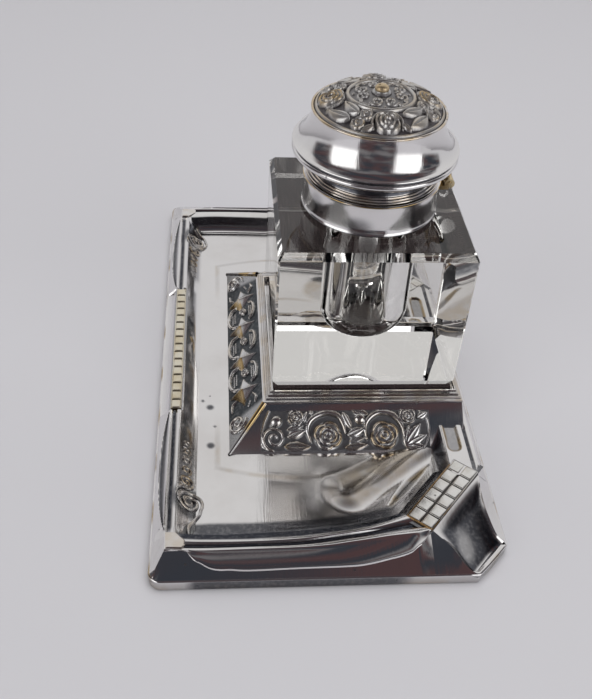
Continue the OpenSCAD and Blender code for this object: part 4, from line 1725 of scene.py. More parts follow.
@dataclass
class LadderBar:
    """The bar of small tiles in the middle of the front rim."""

    tiles: int = 16
    pitch: float = 4.05
    front: float = -48.3
    back: float = -44.8
    top: float = 8.0

    def build(self, finishes: Finishes) -> None:
        """Models one tile, sets the row on its rail and hangs it on the base.

        Args:
            finishes: The finishes.
        """
        middle = (self.front + self.back) / 2
        tile = cushion_tile("ladder_tile", (self.pitch - 0.5, self.back - self.front - 0.7), self.top, 0.7)
        start = -(self.tiles - 1) / 2 * self.pitch
        parts = []
        for k in range(self.tiles):
            parts.append(moved_copy(tile, f"ladder_tile_{k}", start + k * self.pitch, middle))
        bpy.data.objects.remove(tile)
        end, edge = self.tiles * self.pitch / 2, 0.34
        strips = (
            ("ladder_rail", self.front, self.back, 7.5),
            ("ladder_edge_0", self.front, self.front + edge, 7.85),
            ("ladder_edge_1", self.back - edge, self.back, 7.85),
        )
        for name, y0, y1, top in strips:
            parts.append(bar(name, (-end, y0, 7.1), (end, y1, top), 0.12))
        piece = smooth(join(parts, "ladder_bar_tiles"), 30)
        shade_hollows(piece, 7.4, 7.72, 0.25)
        finishes.fit(piece, "ladder_brass", Rides.BASE, "worn_gilt", "ladder_bar")
        log.info("ladder bar: %d tiles", self.tiles)


@dataclass
class CornerBlock:
    """The flat block with cut corners on a front corner of the rim."""

    plan: tuple[Point, ...] = (
        (83.3, -47.9), (89.0, -47.6), (89.2, -43.0), (88.0, -42.2), (86.2, -42.2), (83.3, -45.1),
    )
    bottom: float = 7.0
    top: float = 8.3

    def build(self, finishes: Finishes) -> None:
        """Extrudes the block's plan, insets its top and hangs both blocks on the base.

        Args:
            finishes: The finishes.
        """
        crown = 0.1
        block = wire("corner_block_right_side", [(x, y, self.bottom) for x, y in self.plan])
        with editing(block):
            bpy.ops.mesh.edge_face_add()
            pull(0, 0, self.top - crown - self.bottom)
            bpy.ops.mesh.select_all(action="SELECT")
            bpy.ops.mesh.normals_make_consistent(inside=False)
        inset_top(block, 0.5, crown)
        smooth(round_edges(block, 0.09), 30)
        shade_hollows(block, 7.5, 7.9, 0.25)
        finishes.fit_pair(block, "silver_plate", "silver_plate", "right_corner_block", "left_corner_block")
        log.info("corner blocks")


@dataclass
class TileBand:
    """The slanting band of two rows of small square tiles."""

    tray: TrayPressing
    count: int = 6
    top: float = 8.3

    def build(self, finishes: Finishes) -> None:
        """Models one tile, lays the rows between thin edge strips and hangs both bands on the base.

        Args:
            finishes: The finishes.
        """
        a, b = Vector(self.tray.band_near), Vector(self.tray.band_far)
        run = (b - a).normalized()
        out = (Vector(self.tray.out_near) - a).normalized()
        turn = math.degrees(math.atan2(run.y, run.x))
        length, width = (b - a).length, self.tray.band_width
        pitch_run, pitch_out = length / self.count, (width - 0.5) / 2
        tile = cushion_tile("band_tile", (pitch_run - 0.45, pitch_out - 0.4), self.top - 0.1, 0.75)
        pieces = []
        for k in range(self.count):
            for side in (0, 1):
                outward = 0.15 + pitch_out * (side + 0.5) + 0.2 * side
                mid = a + run * (pitch_run * (k + 0.5)) + out * outward
                pieces.append(moved_copy(tile, f"band_tile_{k}_{side}", mid.x, mid.y, turn))
        bpy.data.objects.remove(tile)
        sign = 1 if out.dot(Vector((-run.y, run.x))) > 0 else -1
        strips = (
            ("band_base", 0.0, length, 0.0, width, 7.62),
            ("band_inner_edge", 0.0, length, -0.1, 0.22, 8.0),
            ("band_outer_edge", 0.0, length, width - 0.2, width + 0.1, 8.0),
            ("band_near_edge", -0.15, 0.3, 0.0, width, 8.15),
            ("band_far_edge", length - 0.3, length + 0.1, 0.0, width, 8.0),
        )
        for name, start, end, inner, outer, top in strips:
            low, high = sorted((sign * inner, sign * outer))
            strip = bar(name, (start, low, 7.4), (end, high, top), 0.1)
            strip.rotation_euler = (0, 0, math.radians(turn))
            strip.location = (a.x * MM, a.y * MM, 0)
            pieces.append(settle(strip))
        band = smooth(join(pieces, "tile_band_right_side"), 30)
        shade_hollows(band, 7.7, 8.05)
        self.stain_and_shade(band, a, out)
        finishes.fit_pair(band, "tile_silver", "tile_silver", "right_tile_band", "left_tile_band")
        log.info("tile bands: 2 x %d tiles each", self.count)

    @staticmethod
    def stain_and_shade(band: Piece, start: Vector, out: Vector) -> None:
        """Marks the brown staining on the band's inner side and near end.

        Args:
            band: The band.
            start: Its inner near corner.
            out: The direction away from the floor.
        """
        x, y, _ = places(band).T
        q = (x - start.x) * out.x + (y - start.y) * out.y
        run = np.abs((y - start.y) * out.x - (x - start.x) * out.y)
        middle = 0.25 * ease(3.6, 4.4, q) * ease(5.2, 4.6, q)
        keep(band, "rub", np.clip(0.8 * ease(0.7, 0.1, q) + 0.9 * ease(0.5, 0.1, run) + middle, 0, 1))


@dataclass
class ScrollRelief:
    """The scroll work on the inner slope of the front rim."""

    front: FrontRim
    x0: float = 43.0
    x1: float = 84.5
    y0: float = -45.6
    y1: float = -36.6

    def carve(self) -> Relief:
        """Lays the scrolls out on the field.

        Returns:
            The relief.
        """
        x, y = np.linspace(self.x0, self.x1, 330), np.linspace(self.y0, self.y1, 66)
        r = Relief(*np.meshgrid(x, y, indexing="ij"))
        r.coil(69.2, -41.4, 4.0, 2.1, 60, Hand.LEFT, 0.56, 1.0, 0.15)
        tail = [(71.2, -37.9), (73.2, -38.4), (75.6, -40.0), (78.4, -41.3), (81.4, -41.2), (84.2, -40.2)]
        r.stroke(tail, 0.55, 0.95, (0.9, 0.5), 0.1)
        link = [(69.0, -45.4), (65.8, -44.9), (64.2, -43.6), (63.9, -41.8), (62.8, -40.6)]
        r.stroke(link, 0.4, 0.8, (0.5, 0.5), 0.6)
        r.coil(61.8, -42.4, 2.3, 1.4, 30, Hand.LEFT, 0.42, 0.85, 0.6)
        for k, (px, size) in enumerate(((57.2, 1.6), (53.2, 1.45), (49.5, 1.3), (46.0, 1.15))):
            r.coil(px, -42.5, size, 1.15, 30, Hand.LEFT, 0.34, 0.75, 0.5 if k < 3 else 0.2)
            hook = [(px + size * 0.9, -41.6), (px + size * 1.6, -42.4), (px + size * 1.9, -43.6)]
            r.stroke(hook, 0.3, 0.65, (0.7, 0.4), 0.2)
        return r

    def build(self, finishes: Finishes) -> None:
        """Presses the scrolls on both sides and hangs them on the base.

        Args:
            finishes: The finishes.
        """
        r = self.carve()
        base, _ = self.front.height(r.s, r.t + HALF_DEPTH)
        base = np.maximum(base, FLOOR)
        grime, rub = r.ageing(0.15, 0.65)
        fade = ease(self.x0, self.x0 + 0.6, r.s) * ease(self.x1, self.x1 - 0.6, r.s)
        fade = fade * ease(self.y0, self.y0 + 0.5, r.t) * ease(self.y1, self.y1 - 0.4, r.t)
        sheet = Sheet("scroll_relief_right_side", *r.s.shape)
        sheet.press(r.s, r.t, base - 0.12 + r.h * fade)
        sheet.age(grime, rub)
        nodes = ("right_scroll_relief", "left_scroll_relief")
        finishes.fit_pair(smooth(sheet.obj, 60), "flower_silver", "oxidised_relief", *nodes)
        log.info("scroll reliefs on the front rim")


# -------------------------------------------------------------- the pedestal


@dataclass
class Pedestal:
    """The raised block with mitred slopes, its relief panels and the frame round the glass."""

    foot_x: float = 49.0
    top_x: float = 35.5
    foot_y: float = -29.4
    top_y: float = -17.8
    back_y: float = 48.2
    top: float = 12.6

    def rose_field(self) -> Relief:
        """Lays out the band of roses; s runs along the panel and t down its slope.

        Returns:
            The relief.
        """
        s, t = np.linspace(14.2, 70.3, 330), np.linspace(2.3, 15.95, 84)
        r = Relief(*np.meshgrid(s, t, indexing="ij"))
        r.stroke([(17.3, 2.7), (15.5, 7.1), (14.8, 11.9), (15.1, 14.0), (17.4, 15.5)], 0.42, 0.6, (0.9, 0.9))
        r.coil(18.9, 11.6, 4.0, 1.7, 100, Hand.LEFT, 0.6, 0.95)
        r.bead(19.6, 6.0, 1.9, 1.3)
        r.leaf((17.6, 8.0), (19.4, 4.2), 0.8, 0.8)
        r.rose(25.8, 4.9, 2.8, 1.4, 20, 0.2)
        r.leaf((28.4, 6.6), (29.6, 2.8), 0.9, 0.9)
        r.bead(31.0, 3.3, 0.8, 0.8)
        for root, tip, wide, tall, worn in (
            ((23.0, 11.2), (29.4, 8.8), 1.7, 1.0, 0.0),
            ((22.8, 8.9), (28.6, 7.5), 1.1, 0.8, 0.0),
            ((22.0, 14.2), (30.8, 14.4), 1.9, 1.1, 0.6),
            ((41.2, 3.2), (44.2, 9.2), 1.5, 1.2, 0.0),
            ((44.4, 2.6), (49.8, 4.0), 1.6, 0.9, 0.3),
            ((42.6, 11.0), (48.8, 8.4), 1.8, 1.1, 0.0),
            ((43.0, 12.8), (48.6, 11.6), 1.1, 0.9, 0.0),
            ((41.6, 14.9), (49.4, 13.9), 1.5, 1.1, 0.3),
            ((66.0, 5.4), (69.4, 3.4), 1.3, 0.9, 0.0),
        ):
            r.leaf(root, tip, wide, tall, worn)
        arches = (
            [(30.6, 12.8), (29.6, 8.9), (31.0, 5.5), (35.4, 3.4), (39.6, 4.2), (41.4, 7.3), (42.0, 10.0)],
            [(48.9, 12.0), (48.7, 7.6), (50.6, 4.7), (53.8, 3.3), (58.0, 4.2), (60.6, 7.6), (61.4, 10.8)],
        )
        for arch, mid in zip(arches, (36.2, 54.8)):
            r.stroke(arch, 1.05, 1.3, (0.5, 0.5), 0.1)
            r.rose(mid, 10.9, 4.9, 1.9, mid * 7, 0.55)
        r.bead(46.9, 5.4, 2.0, 1.5, 0.4)
        r.rose(62.6, 4.6, 3.0, 1.5, 15)
        for tip, wide in (((67.0, 7.0), 2.1), ((69.0, 10.8), 2.0), ((63.2, 7.4), 1.5), ((68.2, 14.4), 1.5)):
            r.leaf((61.6, 14.6), tip, wide, 1.1)
        r.stroke([(66.8, 3.0), (69.2, 5.6), (69.8, 8.6), (69.4, 12.0), (68.2, 14.8)], 0.42, 0.7, (0.9, 0.9))
        return r

    def flower_field(self) -> Relief:
        """Lays out the front band; s runs along X and t up the slope.

        Returns:
            The relief.
        """
        share, t = np.meshgrid(np.linspace(-1, 1, 470), np.linspace(0.2, 15.1, 86), indexing="ij")
        r = Relief(share * (self.foot_x - 0.3 - (self.foot_x - self.top_x) * t / 15.3), t)
        for side in (-1, 1):
            hand = Hand.LEFT if side < 0 else Hand.RIGHT
            r.coil(side * 37.9, 4.3, 3.8, 1.6, 90, hand, 0.6, 1.0)
            r.stroke([(side * 31.4, 2.0), (side * 28.6, 2.4), (side * 27.0, 4.2)], 0.45, 0.8, (0.7, 0.4))
            r.stroke([(side * 32.2, 11.9), (side * 30.0, 12.4), (side * 27.6, 11.0)], 0.45, 0.8, (0.6, 0.6))
            r.beads([(side * 33.0, 8.8), (side * 30.0, 10.2)], 0.95, 0.38, 0.5)
        for mid in (-24.8, -8.8, 8.8, 24.8):
            r.star(mid, 7.3, 7.2, 6.3, 2.0, 1.0)
        for mid in (-16.8, 0.0, 16.8):
            low = [(mid - 5.6, 5.4), (mid - 4.4, 2.8), (mid, 1.4), (mid + 4.4, 2.8), (mid + 5.6, 5.4)]
            high = [(mid - 4.8, 10.8), (mid - 3.4, 12.5), (mid, 13.2), (mid + 3.4, 12.5), (mid + 4.8, 10.8)]
            r.stroke(low, 0.7, 1.15, (0.5, 0.5))
            r.stroke(high, 0.55, 1.0, (0.5, 0.5))
            r.coil(mid - 0.8, 8.4, 1.7, 1.2, 180, Hand.LEFT, 0.42, 1.0)
            for row, shift in ((10.9, 0.0), (11.8, 0.5), (4.2, 0.0), (3.2, 0.5)):
                r.beads([(mid - 2.9 + shift, row), (mid + 2.9 + shift, row)], 0.95, 0.38, 0.5)
        return r

    @staticmethod
    def slope_panel(
        name: str, r: Relief, place: Callable[..., Row], facing: Place, within: float, open_ground: float
    ) -> Piece:
        """Presses a relief field onto a slope.

        Args:
            name: The piece's name.
            r: The relief.
            place: Turns along, across and height into x, y and z.
            facing: The way the slope looks.
            within: How far along the dark ground reaches; past it only the ornament stands out.
            open_ground: How dark the flat ground is.

        Returns:
            The panel.
        """
        grime, rub = r.ageing(0.18, open_ground)
        rim = np.minimum.reduce([r.s - r.s.min(), r.s.max() - r.s, r.t - r.t.min(), r.t.max() - r.t])
        grime = grime * (0.45 + 0.55 * ease(within + 2.5, within, np.abs(r.s) - 0.25 * (7.6 - r.t)))
        rub = np.maximum(rub, 0.9 * (r.warm > 0.8) * (r.h > 0.1))
        sheet = Sheet(name, *r.s.shape)
        sheet.press(*place(r.s, r.t, (r.h + 0.12) * ease(0.0, 0.35, rim) - 0.10), facing=facing)
        sheet.age(grime, rub)
        return smooth(sheet.obj, 70)

    def roses(self, finishes: Finishes) -> None:
        """Presses the rose bands on both end slopes.

        Args:
            finishes: The finishes.
        """
        run = math.hypot(self.foot_x - self.top_x, self.top - FLOOR)
        cos, sin = (self.foot_x - self.top_x) / run, (self.top - FLOOR) / run

        def place(s: Array, t: Array, h: Array) -> Row:
            """Lays the field on the right-hand slope."""
            return self.top_x + cos * t + sin * h, s - 33.5, self.top - sin * t + cos * h

        right = self.slope_panel("rose_band_right_side", self.rose_field(), place, (sin, 0, cos), 99.0, 0.75)
        finishes.fit_pair(right, "rose_silver", "oxidised_relief", "right_rose_panel", "left_rose_panel")
        log.info("rose bands on the end slopes")

    def flowers(self, finishes: Finishes) -> None:
        """Presses the flower band on the front slope.

        Args:
            finishes: The finishes.
        """
        run = math.hypot(self.top_y - self.foot_y, self.top - FLOOR)
        cos, sin = (self.top_y - self.foot_y) / run, (self.top - FLOOR) / run

        def place(s: Array, t: Array, h: Array) -> Row:
            """Lays the field on the front slope."""
            return s, self.foot_y + cos * t - sin * h, FLOOR + sin * t + cos * h

        panel = self.slope_panel("flower_band", self.flower_field(), place, (0, -sin, cos), 33.6, 0.95)
        finishes.fit(panel, "flower_silver", Rides.BASE, "oxidised_relief", "front_flower_panel")
        log.info("flower band on the front slope")

    def frame(self, finishes: Finishes) -> None:
        """Builds the stepped moulding round the foot of the glass.

        Args:
            finishes: The finishes.
        """
        section = [
            (0.0, 12.6), (0.0, 14.3), (0.12, 14.46), (0.3, 14.5), (0.7, 14.5), (0.85, 14.42), (0.95, 14.2),
            (1.05, 14.12), (1.6, 14.10), (2.0, 14.08), (2.12, 14.0), (2.2, 13.6), (2.35, 13.5), (2.9, 13.48),
            (3.3, 13.45), (3.45, 13.38), (3.55, 13.1), (3.7, 12.98), (4.2, 12.95), (4.5, 12.92), (4.7, 12.85),
            (4.85, 12.6), (4.85, 12.3),
        ]
        inner_x, inner_front, inner_back = 31.2, -15.25, 45.9
        out, z = np.array(section).T
        share = out / out[-1]
        x = inner_x + (self.top_x - inner_x) * share
        front = inner_front + (self.top_y - inner_front) * share
        back = inner_back + (self.back_y - inner_back) * share
        corners = [(-x, front), (x, front), (x, back), (-x, back), (-x, front)]
        u = np.linspace(0, 1, 9)[:-1, None]
        runs = [[p + (q - p) * u for p, q in zip(a, b)] for a, b in zip(corners, corners[1:])]
        px, py = (np.vstack([run[k] for run in runs] + [corners[0][k][None, :]]) for k in (0, 1))
        sheet = Sheet("stepped_frame", len(px), len(out))
        sheet.press(px, py, z)
        moulding = smooth(weld(sheet.obj), 30)
        height = places(moulding)[:, 2]
        # painted shade where the frame meets the block, and dark lines along the steps' inner corners
        dirt_and_shade = 0.6 * ease(12.7, 12.5, height)
        for corner in (14.13, 13.52, 13.0):
            dirt_and_shade = np.maximum(dirt_and_shade, 0.45 * ease(0.08, 0.01, np.abs(height - corner)))
        keep(moulding, "grime", dirt_and_shade)
        keep(moulding, "rub", 0.3 * ease(12.4, 12.8, height))
        finishes.fit(moulding, "silver_plate", Rides.BASE, "silver_plate", "seat_frame")
        log.info("stepped frame round the glass")

    def shell(self, finishes: Finishes) -> None:
        """Builds the block itself with its soft mitred edges.

        Args:
            finishes: The finishes.
        """
        low, foot_x, foot_y = 1.7, self.foot_x + 1.2, self.foot_y - 0.85
        block = bar("pedestal_block", (-foot_x, foot_y, low), (foot_x, self.back_y, self.top))
        for vertex in block.data.vertices:
            if vertex.co.z > 5 * MM:
                vertex.co.x = math.copysign(self.top_x, vertex.co.x) * MM
                vertex.co.y = (self.back_y if vertex.co.y > 0 else self.top_y) * MM
        smooth(round_edges(block, 0.5, 3), 30)
        shade_hollows(block, 1.0, 1.5)
        finishes.fit(block, "silver_plate", Rides.BASE, "silver_plate", "pedestal_shell")
        log.info("pedestal block")

    def mitre_ridges(self, finishes: Finishes) -> None:
        """Presses the rounded ridges along the two front mitres.

        Args:
            finishes: The finishes.
        """
        a = Vector((self.top_x - 0.1, self.top_y + 0.1, self.top + 0.1))
        b = Vector((self.foot_x - 0.2, self.foot_y + 0.2, FLOOR + 0.2))
        run = (b - a).normalized()
        side = run.cross(Vector(UP)).normalized()
        rise = side.cross(run).normalized()
        u, turn = np.linspace(0, 1, 40)[:, None], np.radians(np.linspace(-20, 200, 15))
        size = 0.95 * (1 - 0.45 * u)
        ring = [side[k] * np.cos(turn) + rise[k] * np.sin(turn) for k in range(3)]
        sheet = Sheet("mitre_ridge_right_side", len(u), len(turn))
        sheet.press(*(a[k] + (b[k] - a[k]) * u + size * ring[k] for k in range(3)), facing=tuple(rise))
        sheet.age(0.45 * ease(0.3, 0.7, u), 1.6 * ease(0.75, 0.35, u))
        finishes.fit_pair(smooth(sheet.obj, 60), "silver_plate", "silver_plate")
        log.info("mitre ridges")

    def build(self, finishes: Finishes) -> None:
        """Builds the block, its frame and its panels.

        Args:
            finishes: The finishes.
        """
        self.shell(finishes)
        self.frame(finishes)
        self.roses(finishes)
        self.flowers(finishes)
        self.mitre_ridges(finishes)


# ---------------------------------------------------------- the glass and lid


@dataclass
class GlassWell:
    """The square glass block with its round neck and its ink cavity."""

    side: float = 60.5
    bottom: float = 14.0
    top: float = 67.1
    bevel: float = 2.0
    foot_bevel: float = 3.3
    side_bevel: float = 1.3
    upright_bevel: float = 0.6
    neck_r: float = 17.5
    neck_top: float = 76.1
    cavity_r: float = 14.5
    cavity_bottom: float = 24.6
    cavity_round: float = 12.0

    def block(self) -> Piece:
        """Cuts the square block and polishes its chamfers.

        Returns:
            The block.
        """
        half = self.side / 2
        low, high = self.bottom + self.foot_bevel, self.top - self.bevel
        block = bar("glass_block_clear", (-half, WELL_Y - half, low), (half, WELL_Y + half, high))
        with editing(block, "EDGE", "DESELECT"):
            bpy.ops.object.mode_set(mode="OBJECT")
            for edge in block.data.edges:
                a, b = (block.data.vertices[k].co for k in edge.vertices)
                edge.select = abs(a.z - b.z) > 1 * MM
            bpy.ops.object.mode_set(mode="EDIT")
            bpy.ops.mesh.bevel(offset=self.upright_bevel * MM, segments=1, affect="EDGES")
        taper = (half - self.bevel) / half, (half - self.side_bevel) / half
        for way, rise in ((1.0, self.bevel), (-1.0, -self.foot_bevel)):
            with picked_faces(block, way):
                pull(0, 0, rise)
                bpy.ops.transform.resize(value=(*taper, 1.0), center_override=(0, WELL_Y * MM, 0))
        return block

    def build(self, finishes: Finishes) -> None:
        """Joins the neck to the block, grinds out the cavity and hangs the glass on the well.

        Args:
            finishes: The finishes.
        """
        block = self.block()
        r, low, top, lip = self.neck_r, self.top - 1, self.neck_top, 0.8
        wall = [(0, low), (r, low), (r, top - lip), *arc((r - lip, top - lip), lip, 15, 90, 5), (0, top)]
        neck = turned("glass_neck", wall, 112)
        r, z, q = self.cavity_r, self.cavity_bottom, self.cavity_round
        bowl = [(0, z), *arc((r - q, z + q), q, -90, 0, 14)]
        hollow = turned("ink_cavity", [*bowl, (r, top - 1.0), (r + lip, top + 1.0), (0, top + 1.0)], 112)
        for tool, operation in ((neck, "UNION"), (hollow, "DIFFERENCE")):
            modifier = block.modifiers.new("shape", "BOOLEAN")
            modifier.object = tool
            modifier.operation = operation
            apply_all(block)
            bpy.data.objects.remove(tool)
        smooth(block, 25)
        finishes.fit(block, "clear_glass", Rides.WELL, "clear_glass", "glass_block")
        log.info("glass well")


@dataclass
class Collar:
    """The waisted collar on the glass, with its rolled rim."""

    inside: float = 19.6
    steps: int = 144

    def build(self, finishes: Finishes) -> None:
        """Turns the sleeve and its rim and hangs both on the well.

        Args:
            finishes: The finishes.
        """
        r = self.inside
        foot = [(21.5, 68.0), (21.6, 68.08), (21.6, 68.22)]
        waist = [(21.45, 68.42), (21.2, 68.9), (20.95, 69.9), (20.78, 71.6), (20.66, 74.0), (20.6, 76.6)]
        wall = [*foot, *soft_profile(waist), (20.6, 76.9), (r, 76.9), (r, 68.0), foot[0]]
        sleeve = turned("collar_waist", wall, self.steps)
        shade_hollows(sleeve, 68.1, 68.5)
        # painted reflection: dark patches on the waist
        self.stain_and_shade(sleeve)
        finishes.fit(sleeve, "silver_plate", Rides.WELL, "silver_plate", "collar_sleeve")
        roll = [(20.6, 76.9), (20.62, 77.5), (20.9, 77.72), (21.4, 77.8), (21.57, 77.95), (21.6, 78.1)]
        roll += [(21.52, 78.28), (21.3, 78.38), (r + 0.3, 78.4), (r, 78.1), (r, 77.2), (r + 0.3, 76.9)]
        rim = turned("collar_rolled_rim", [*roll, roll[0]], self.steps)
        self.rub_rim(rim)
        finishes.fit(rim, "silver_plate", Rides.WELL, "worn_gilt", "collar_rim")
        log.info("collar and its rolled rim")

    @staticmethod
    def stain_and_shade(sleeve: Piece) -> None:
        """Paints dark patches on the waist at fixed bearings, a painted reflection.

        Args:
            sleeve: The collar's waist.
        """
        x, y, z = places(sleeve).T
        turn = np.degrees(np.arctan2(y - WELL_Y, x))
        grime = marks(sleeve, "grime")
        patches = (
            (-17.0, 14.0, 71.0, 0.5), (42.0, 26.0, 73.0, 0.55), (-60.0, 10.0, 74.0, 0.35),
            (160.0, 40.0, 72.0, 0.4),
        )
        # each patch is a painted reflection, most of them on the side that faces the camera
        for bearing, width, height, amount in patches:
            away = np.hypot((turn - bearing) / width, (z - height) / 3.2)
            grime = np.maximum(grime, amount * ease(1.2, 0.3, away))
        keep(sleeve, "grime", grime)

    @staticmethod
    def rub_rim(rim: Piece) -> None:
        """Marks the thin line where the rim's plating is worn through."""
        x, y, z = places(rim).T
        r = np.hypot(x, y - WELL_Y)
        keep(rim, "grime", 0 * r)
        keep(rim, "rub", ease(21.3, 21.55, r) * ease(77.7, 77.95, z))


@dataclass
class Lid:
    """The spun lid with its embossed dome."""

    dome_r: float = 20.2
    dome_z: float = 99.4
    dome_rise: float = 5.2
    edge_r: float = 19.4

    def shell_profile(self) -> list[Point]:
        """The spun wall, outside then inside.

        Returns:
            Closed profile points.
        """
        steps = [(19.9, 78.8)]
        for r, z in ((20.55, 78.8), (19.75, 79.25), (18.95, 79.7)):
            steps += [(r, z + 0.05), (r + 0.1, z + 0.2), (r - 0.05, z + 0.38), (r - 0.5, z + 0.42)]
        curve = [
            (18.3, 80.3), (17.98, 81.2), (17.95, 82.2), (18.6, 83.1), (20.6, 83.9), (23.2, 84.8),
            (24.7, 85.6),
        ]
        neck = [*steps, *soft_profile(curve)]
        bead = arc((24.55, 86.7), 0.95, -50, 90, 11)
        groove = [(24.5, 87.8), (24.5, 88.15), (24.7, 88.3)]
        flange = [(25.35, 88.5), (25.5, 88.7), (25.42, 88.9), (25.2, 89.0)]
        wall = [(24.6, 89.15), (23.9, 89.6), (23.2, 90.25), (22.35, 91.4), (21.45, 93.0), (20.78, 94.6)]
        wall += [(20.28, 96.3), (20.0, 97.8), (19.9, 98.9)]
        lip = arc((19.95, 99.35), 0.42, -60, 150, 12)
        inside = [(19.3, 99.1), (18.6, 98.4), (18.95, 96.6), (19.9, 93.6), (21.2, 91.0), (22.6, 89.2)]
        inside += [(23.5, 88.3), (23.5, 86.6), (20.4, 85.0), (17.9, 83.4), (17.9, 78.8), steps[0]]
        return [*neck, *bead, *groove, *flange, *soft_profile(wall), *lip, *inside]

    def dome_field(self, x: Array, y: Array) -> Relief:
        """Lays out the embossed dome.

        Args:
            x: Places along X from the middle of the lid.
            y: Places along Y from the middle.

        Returns:
            The relief.
        """
        r = Relief(x, y)
        r.ring(9.9, 0.62, 0.95, 0.1)
        r.ring(18.9, 0.35, 0.5, 0.3)
        size = 2.1
        for b in (45.0, 135.0, 225.0, 315.0):
            r.bead(*spot(8.3, b + 45), 0.5, 0.5, 0.1)
            r.bead(*spot(4.2, b + 45), 0.4, 0.4, 0.1)
            ends = []
            for side, hand in ((1, Hand.LEFT), (-1, Hand.RIGHT)):
                s, t = spot(5.9, b + 23 * side)
                start = b - 25 * side
                r.coil(s, t, size, 1.25, start, hand, 0.36, 0.7, 0.1)
                ends.append(spot(size, start, (s, t)))
            arch = [ends[1], spot(8.5, b - 10), spot(8.7, b), spot(8.5, b + 10), ends[0]]
            r.stroke(arch, 0.36, 0.7, (0.9, 0.9), 0.1)
        for k in range(4):
            self.spray(r, 90.0 * k, k % 2 == 1)
        return r

    @staticmethod
    def spray(r: Relief, a: float, worn: bool) -> None:
        """A high rose with the bud, flower and leaves that follow it round the dome.

        Args:
            r: The relief.
            a: The rose's angle.
            worn: Whether the rose is rubbed down to the brass.
        """
        brass = 0.7 if worn else 0.1
        for side in (-1, 1):
            arch = [spot(11.0, a + 3 * side), spot(11.8, a + 13 * side), spot(14.2, a + 17.5 * side)]
            r.stroke([*arch, spot(17.0, a + 14 * side)], 0.45, 1.0, (0.6, 0.5), 0.05)
        r.rose(*spot(14.8, a), 3.9, 2.1, a + 12, brass)
        r.rose(*spot(12.9, a - 27), 2.15, 1.5, a, 0.1)
        r.rose(*spot(16.4, a - 31), 2.15, 1.4, a + 40, 0.4)
        r.leaf(spot(13.4, a - 36), spot(12.2, a - 68), 1.9, 1.35, 0.05)
        r.leaf(spot(16.0, a - 41), spot(17.4, a - 68), 1.9, 1.4, 0.1)
        r.leaf(spot(16.0, a - 15), spot(18.4, a - 25), 1.1, 1.0, 0.05)
        r.leaf(spot(15.4, a + 17), spot(18.0, a + 22), 1.0, 1.0, 0.05)

    def dome(self) -> Sheet:
        """Presses the dome.

        Returns:
            The sheet, round its own axis.
        """
        radii = np.concatenate([[0.002], np.linspace(0.4, 2.6, 6), np.linspace(2.75, self.edge_r, 92)])
        turn = np.linspace(0, 2 * math.pi, 505)
        x, y = radii * np.cos(turn[:, None]), radii * np.sin(turn[:, None])
        r = self.dome_field(x, y)
        grime, rub = r.ageing(0.19, 0.85)
        grime = grime * (0.82 + 0.30 * ease(9.0, 10.5, radii))
        base = self.dome_z + self.dome_rise * (1 - (radii / self.dome_r) ** 2) - 0.25
        sheet = Sheet("embossed_dome", len(turn), len(radii))
        sheet.press(x, y + WELL_Y, base + r.h * ease(self.edge_r, self.edge_r - 0.4, radii))
        sheet.age(np.clip(grime, 0, 1), rub)
        weld(sheet.obj, 0.004)
        return sheet

    def build(self, finishes: Finishes) -> None:
        """Spins the shell, presses the dome, turns the button and hangs them on the lid.

        Args:
            finishes: The finishes.
        """
        shell = turned("lid_spun_shell", self.shell_profile(), 160)
        self.rub_beads(shell)
        finishes.fit(shell, "silver_plate", Rides.LID, "silver_plate", "lid_shell")
        dome = smooth(self.dome().obj, 70)
        finishes.fit(dome, "pewter_relief", Rides.LID, "oxidised_relief", "lid_dome", "lid_roses")
        foot = [(0, 104.15), (3.0, 104.15), (3.0, 104.45), (2.8, 104.7), (2.45, 104.95), (2.3, 105.25)]
        base = turned("lid_button_foot", [*foot, (1.2, 105.4), (0, 105.4)], 64)
        shade_hollows(base, 104.4, 104.9)
        finishes.fit(base, "pewter_relief", Rides.LID, "oxidised_relief")
        turns = np.radians(np.linspace(0, 90, 12))[:-1]
        cap = [(2.12 * math.cos(q) ** 0.85, 105.35 + 1.6 * math.sin(q) ** 0.8) for q in turns]
        button = turned("lid_button", [(0, 105.2), (1.9, 105.2), *cap, (0, 106.95)], 64)
        shade_hollows(button, 105.2, 105.4)
        finishes.fit(button, "button_gilt", Rides.LID, "worn_gilt", "lid_boss")
        log.info("lid: shell, dome and button")

    @staticmethod
    def rub_beads(shell: Piece) -> None:
        """Marks the wear on the lid's two beads, and paints shade in its groove and on its neck under the
        bead.

        Args:
            shell: The lid's wall.
        """
        x, y, z = places(shell).T
        r = np.hypot(x, y - WELL_Y)
        # painted shade: dark in the groove under the flange, and dark on the neck in the shadow of the bead
        groove = 0.95 * ease(87.5, 87.8, z) * ease(88.5, 88.3, z) * (r > 24.2)
        neck = 0.9 * ease(80.1, 80.35, z) * ease(84.9, 83.6, z) * ease(23.4, 20.6, r)
        keep(shell, "grime", np.maximum(groove, neck))
        bead = 0.8 * ease(86.3, 85.7, z) * ease(24.0, 24.6, r)
        keep(shell, "rub", np.maximum.reduce([bead, 0.6 * ease(98.9, 99.2, z), 0.25 * ease(80.3, 80.1, z)]))


# ---------------------------------------------------------------- the studio


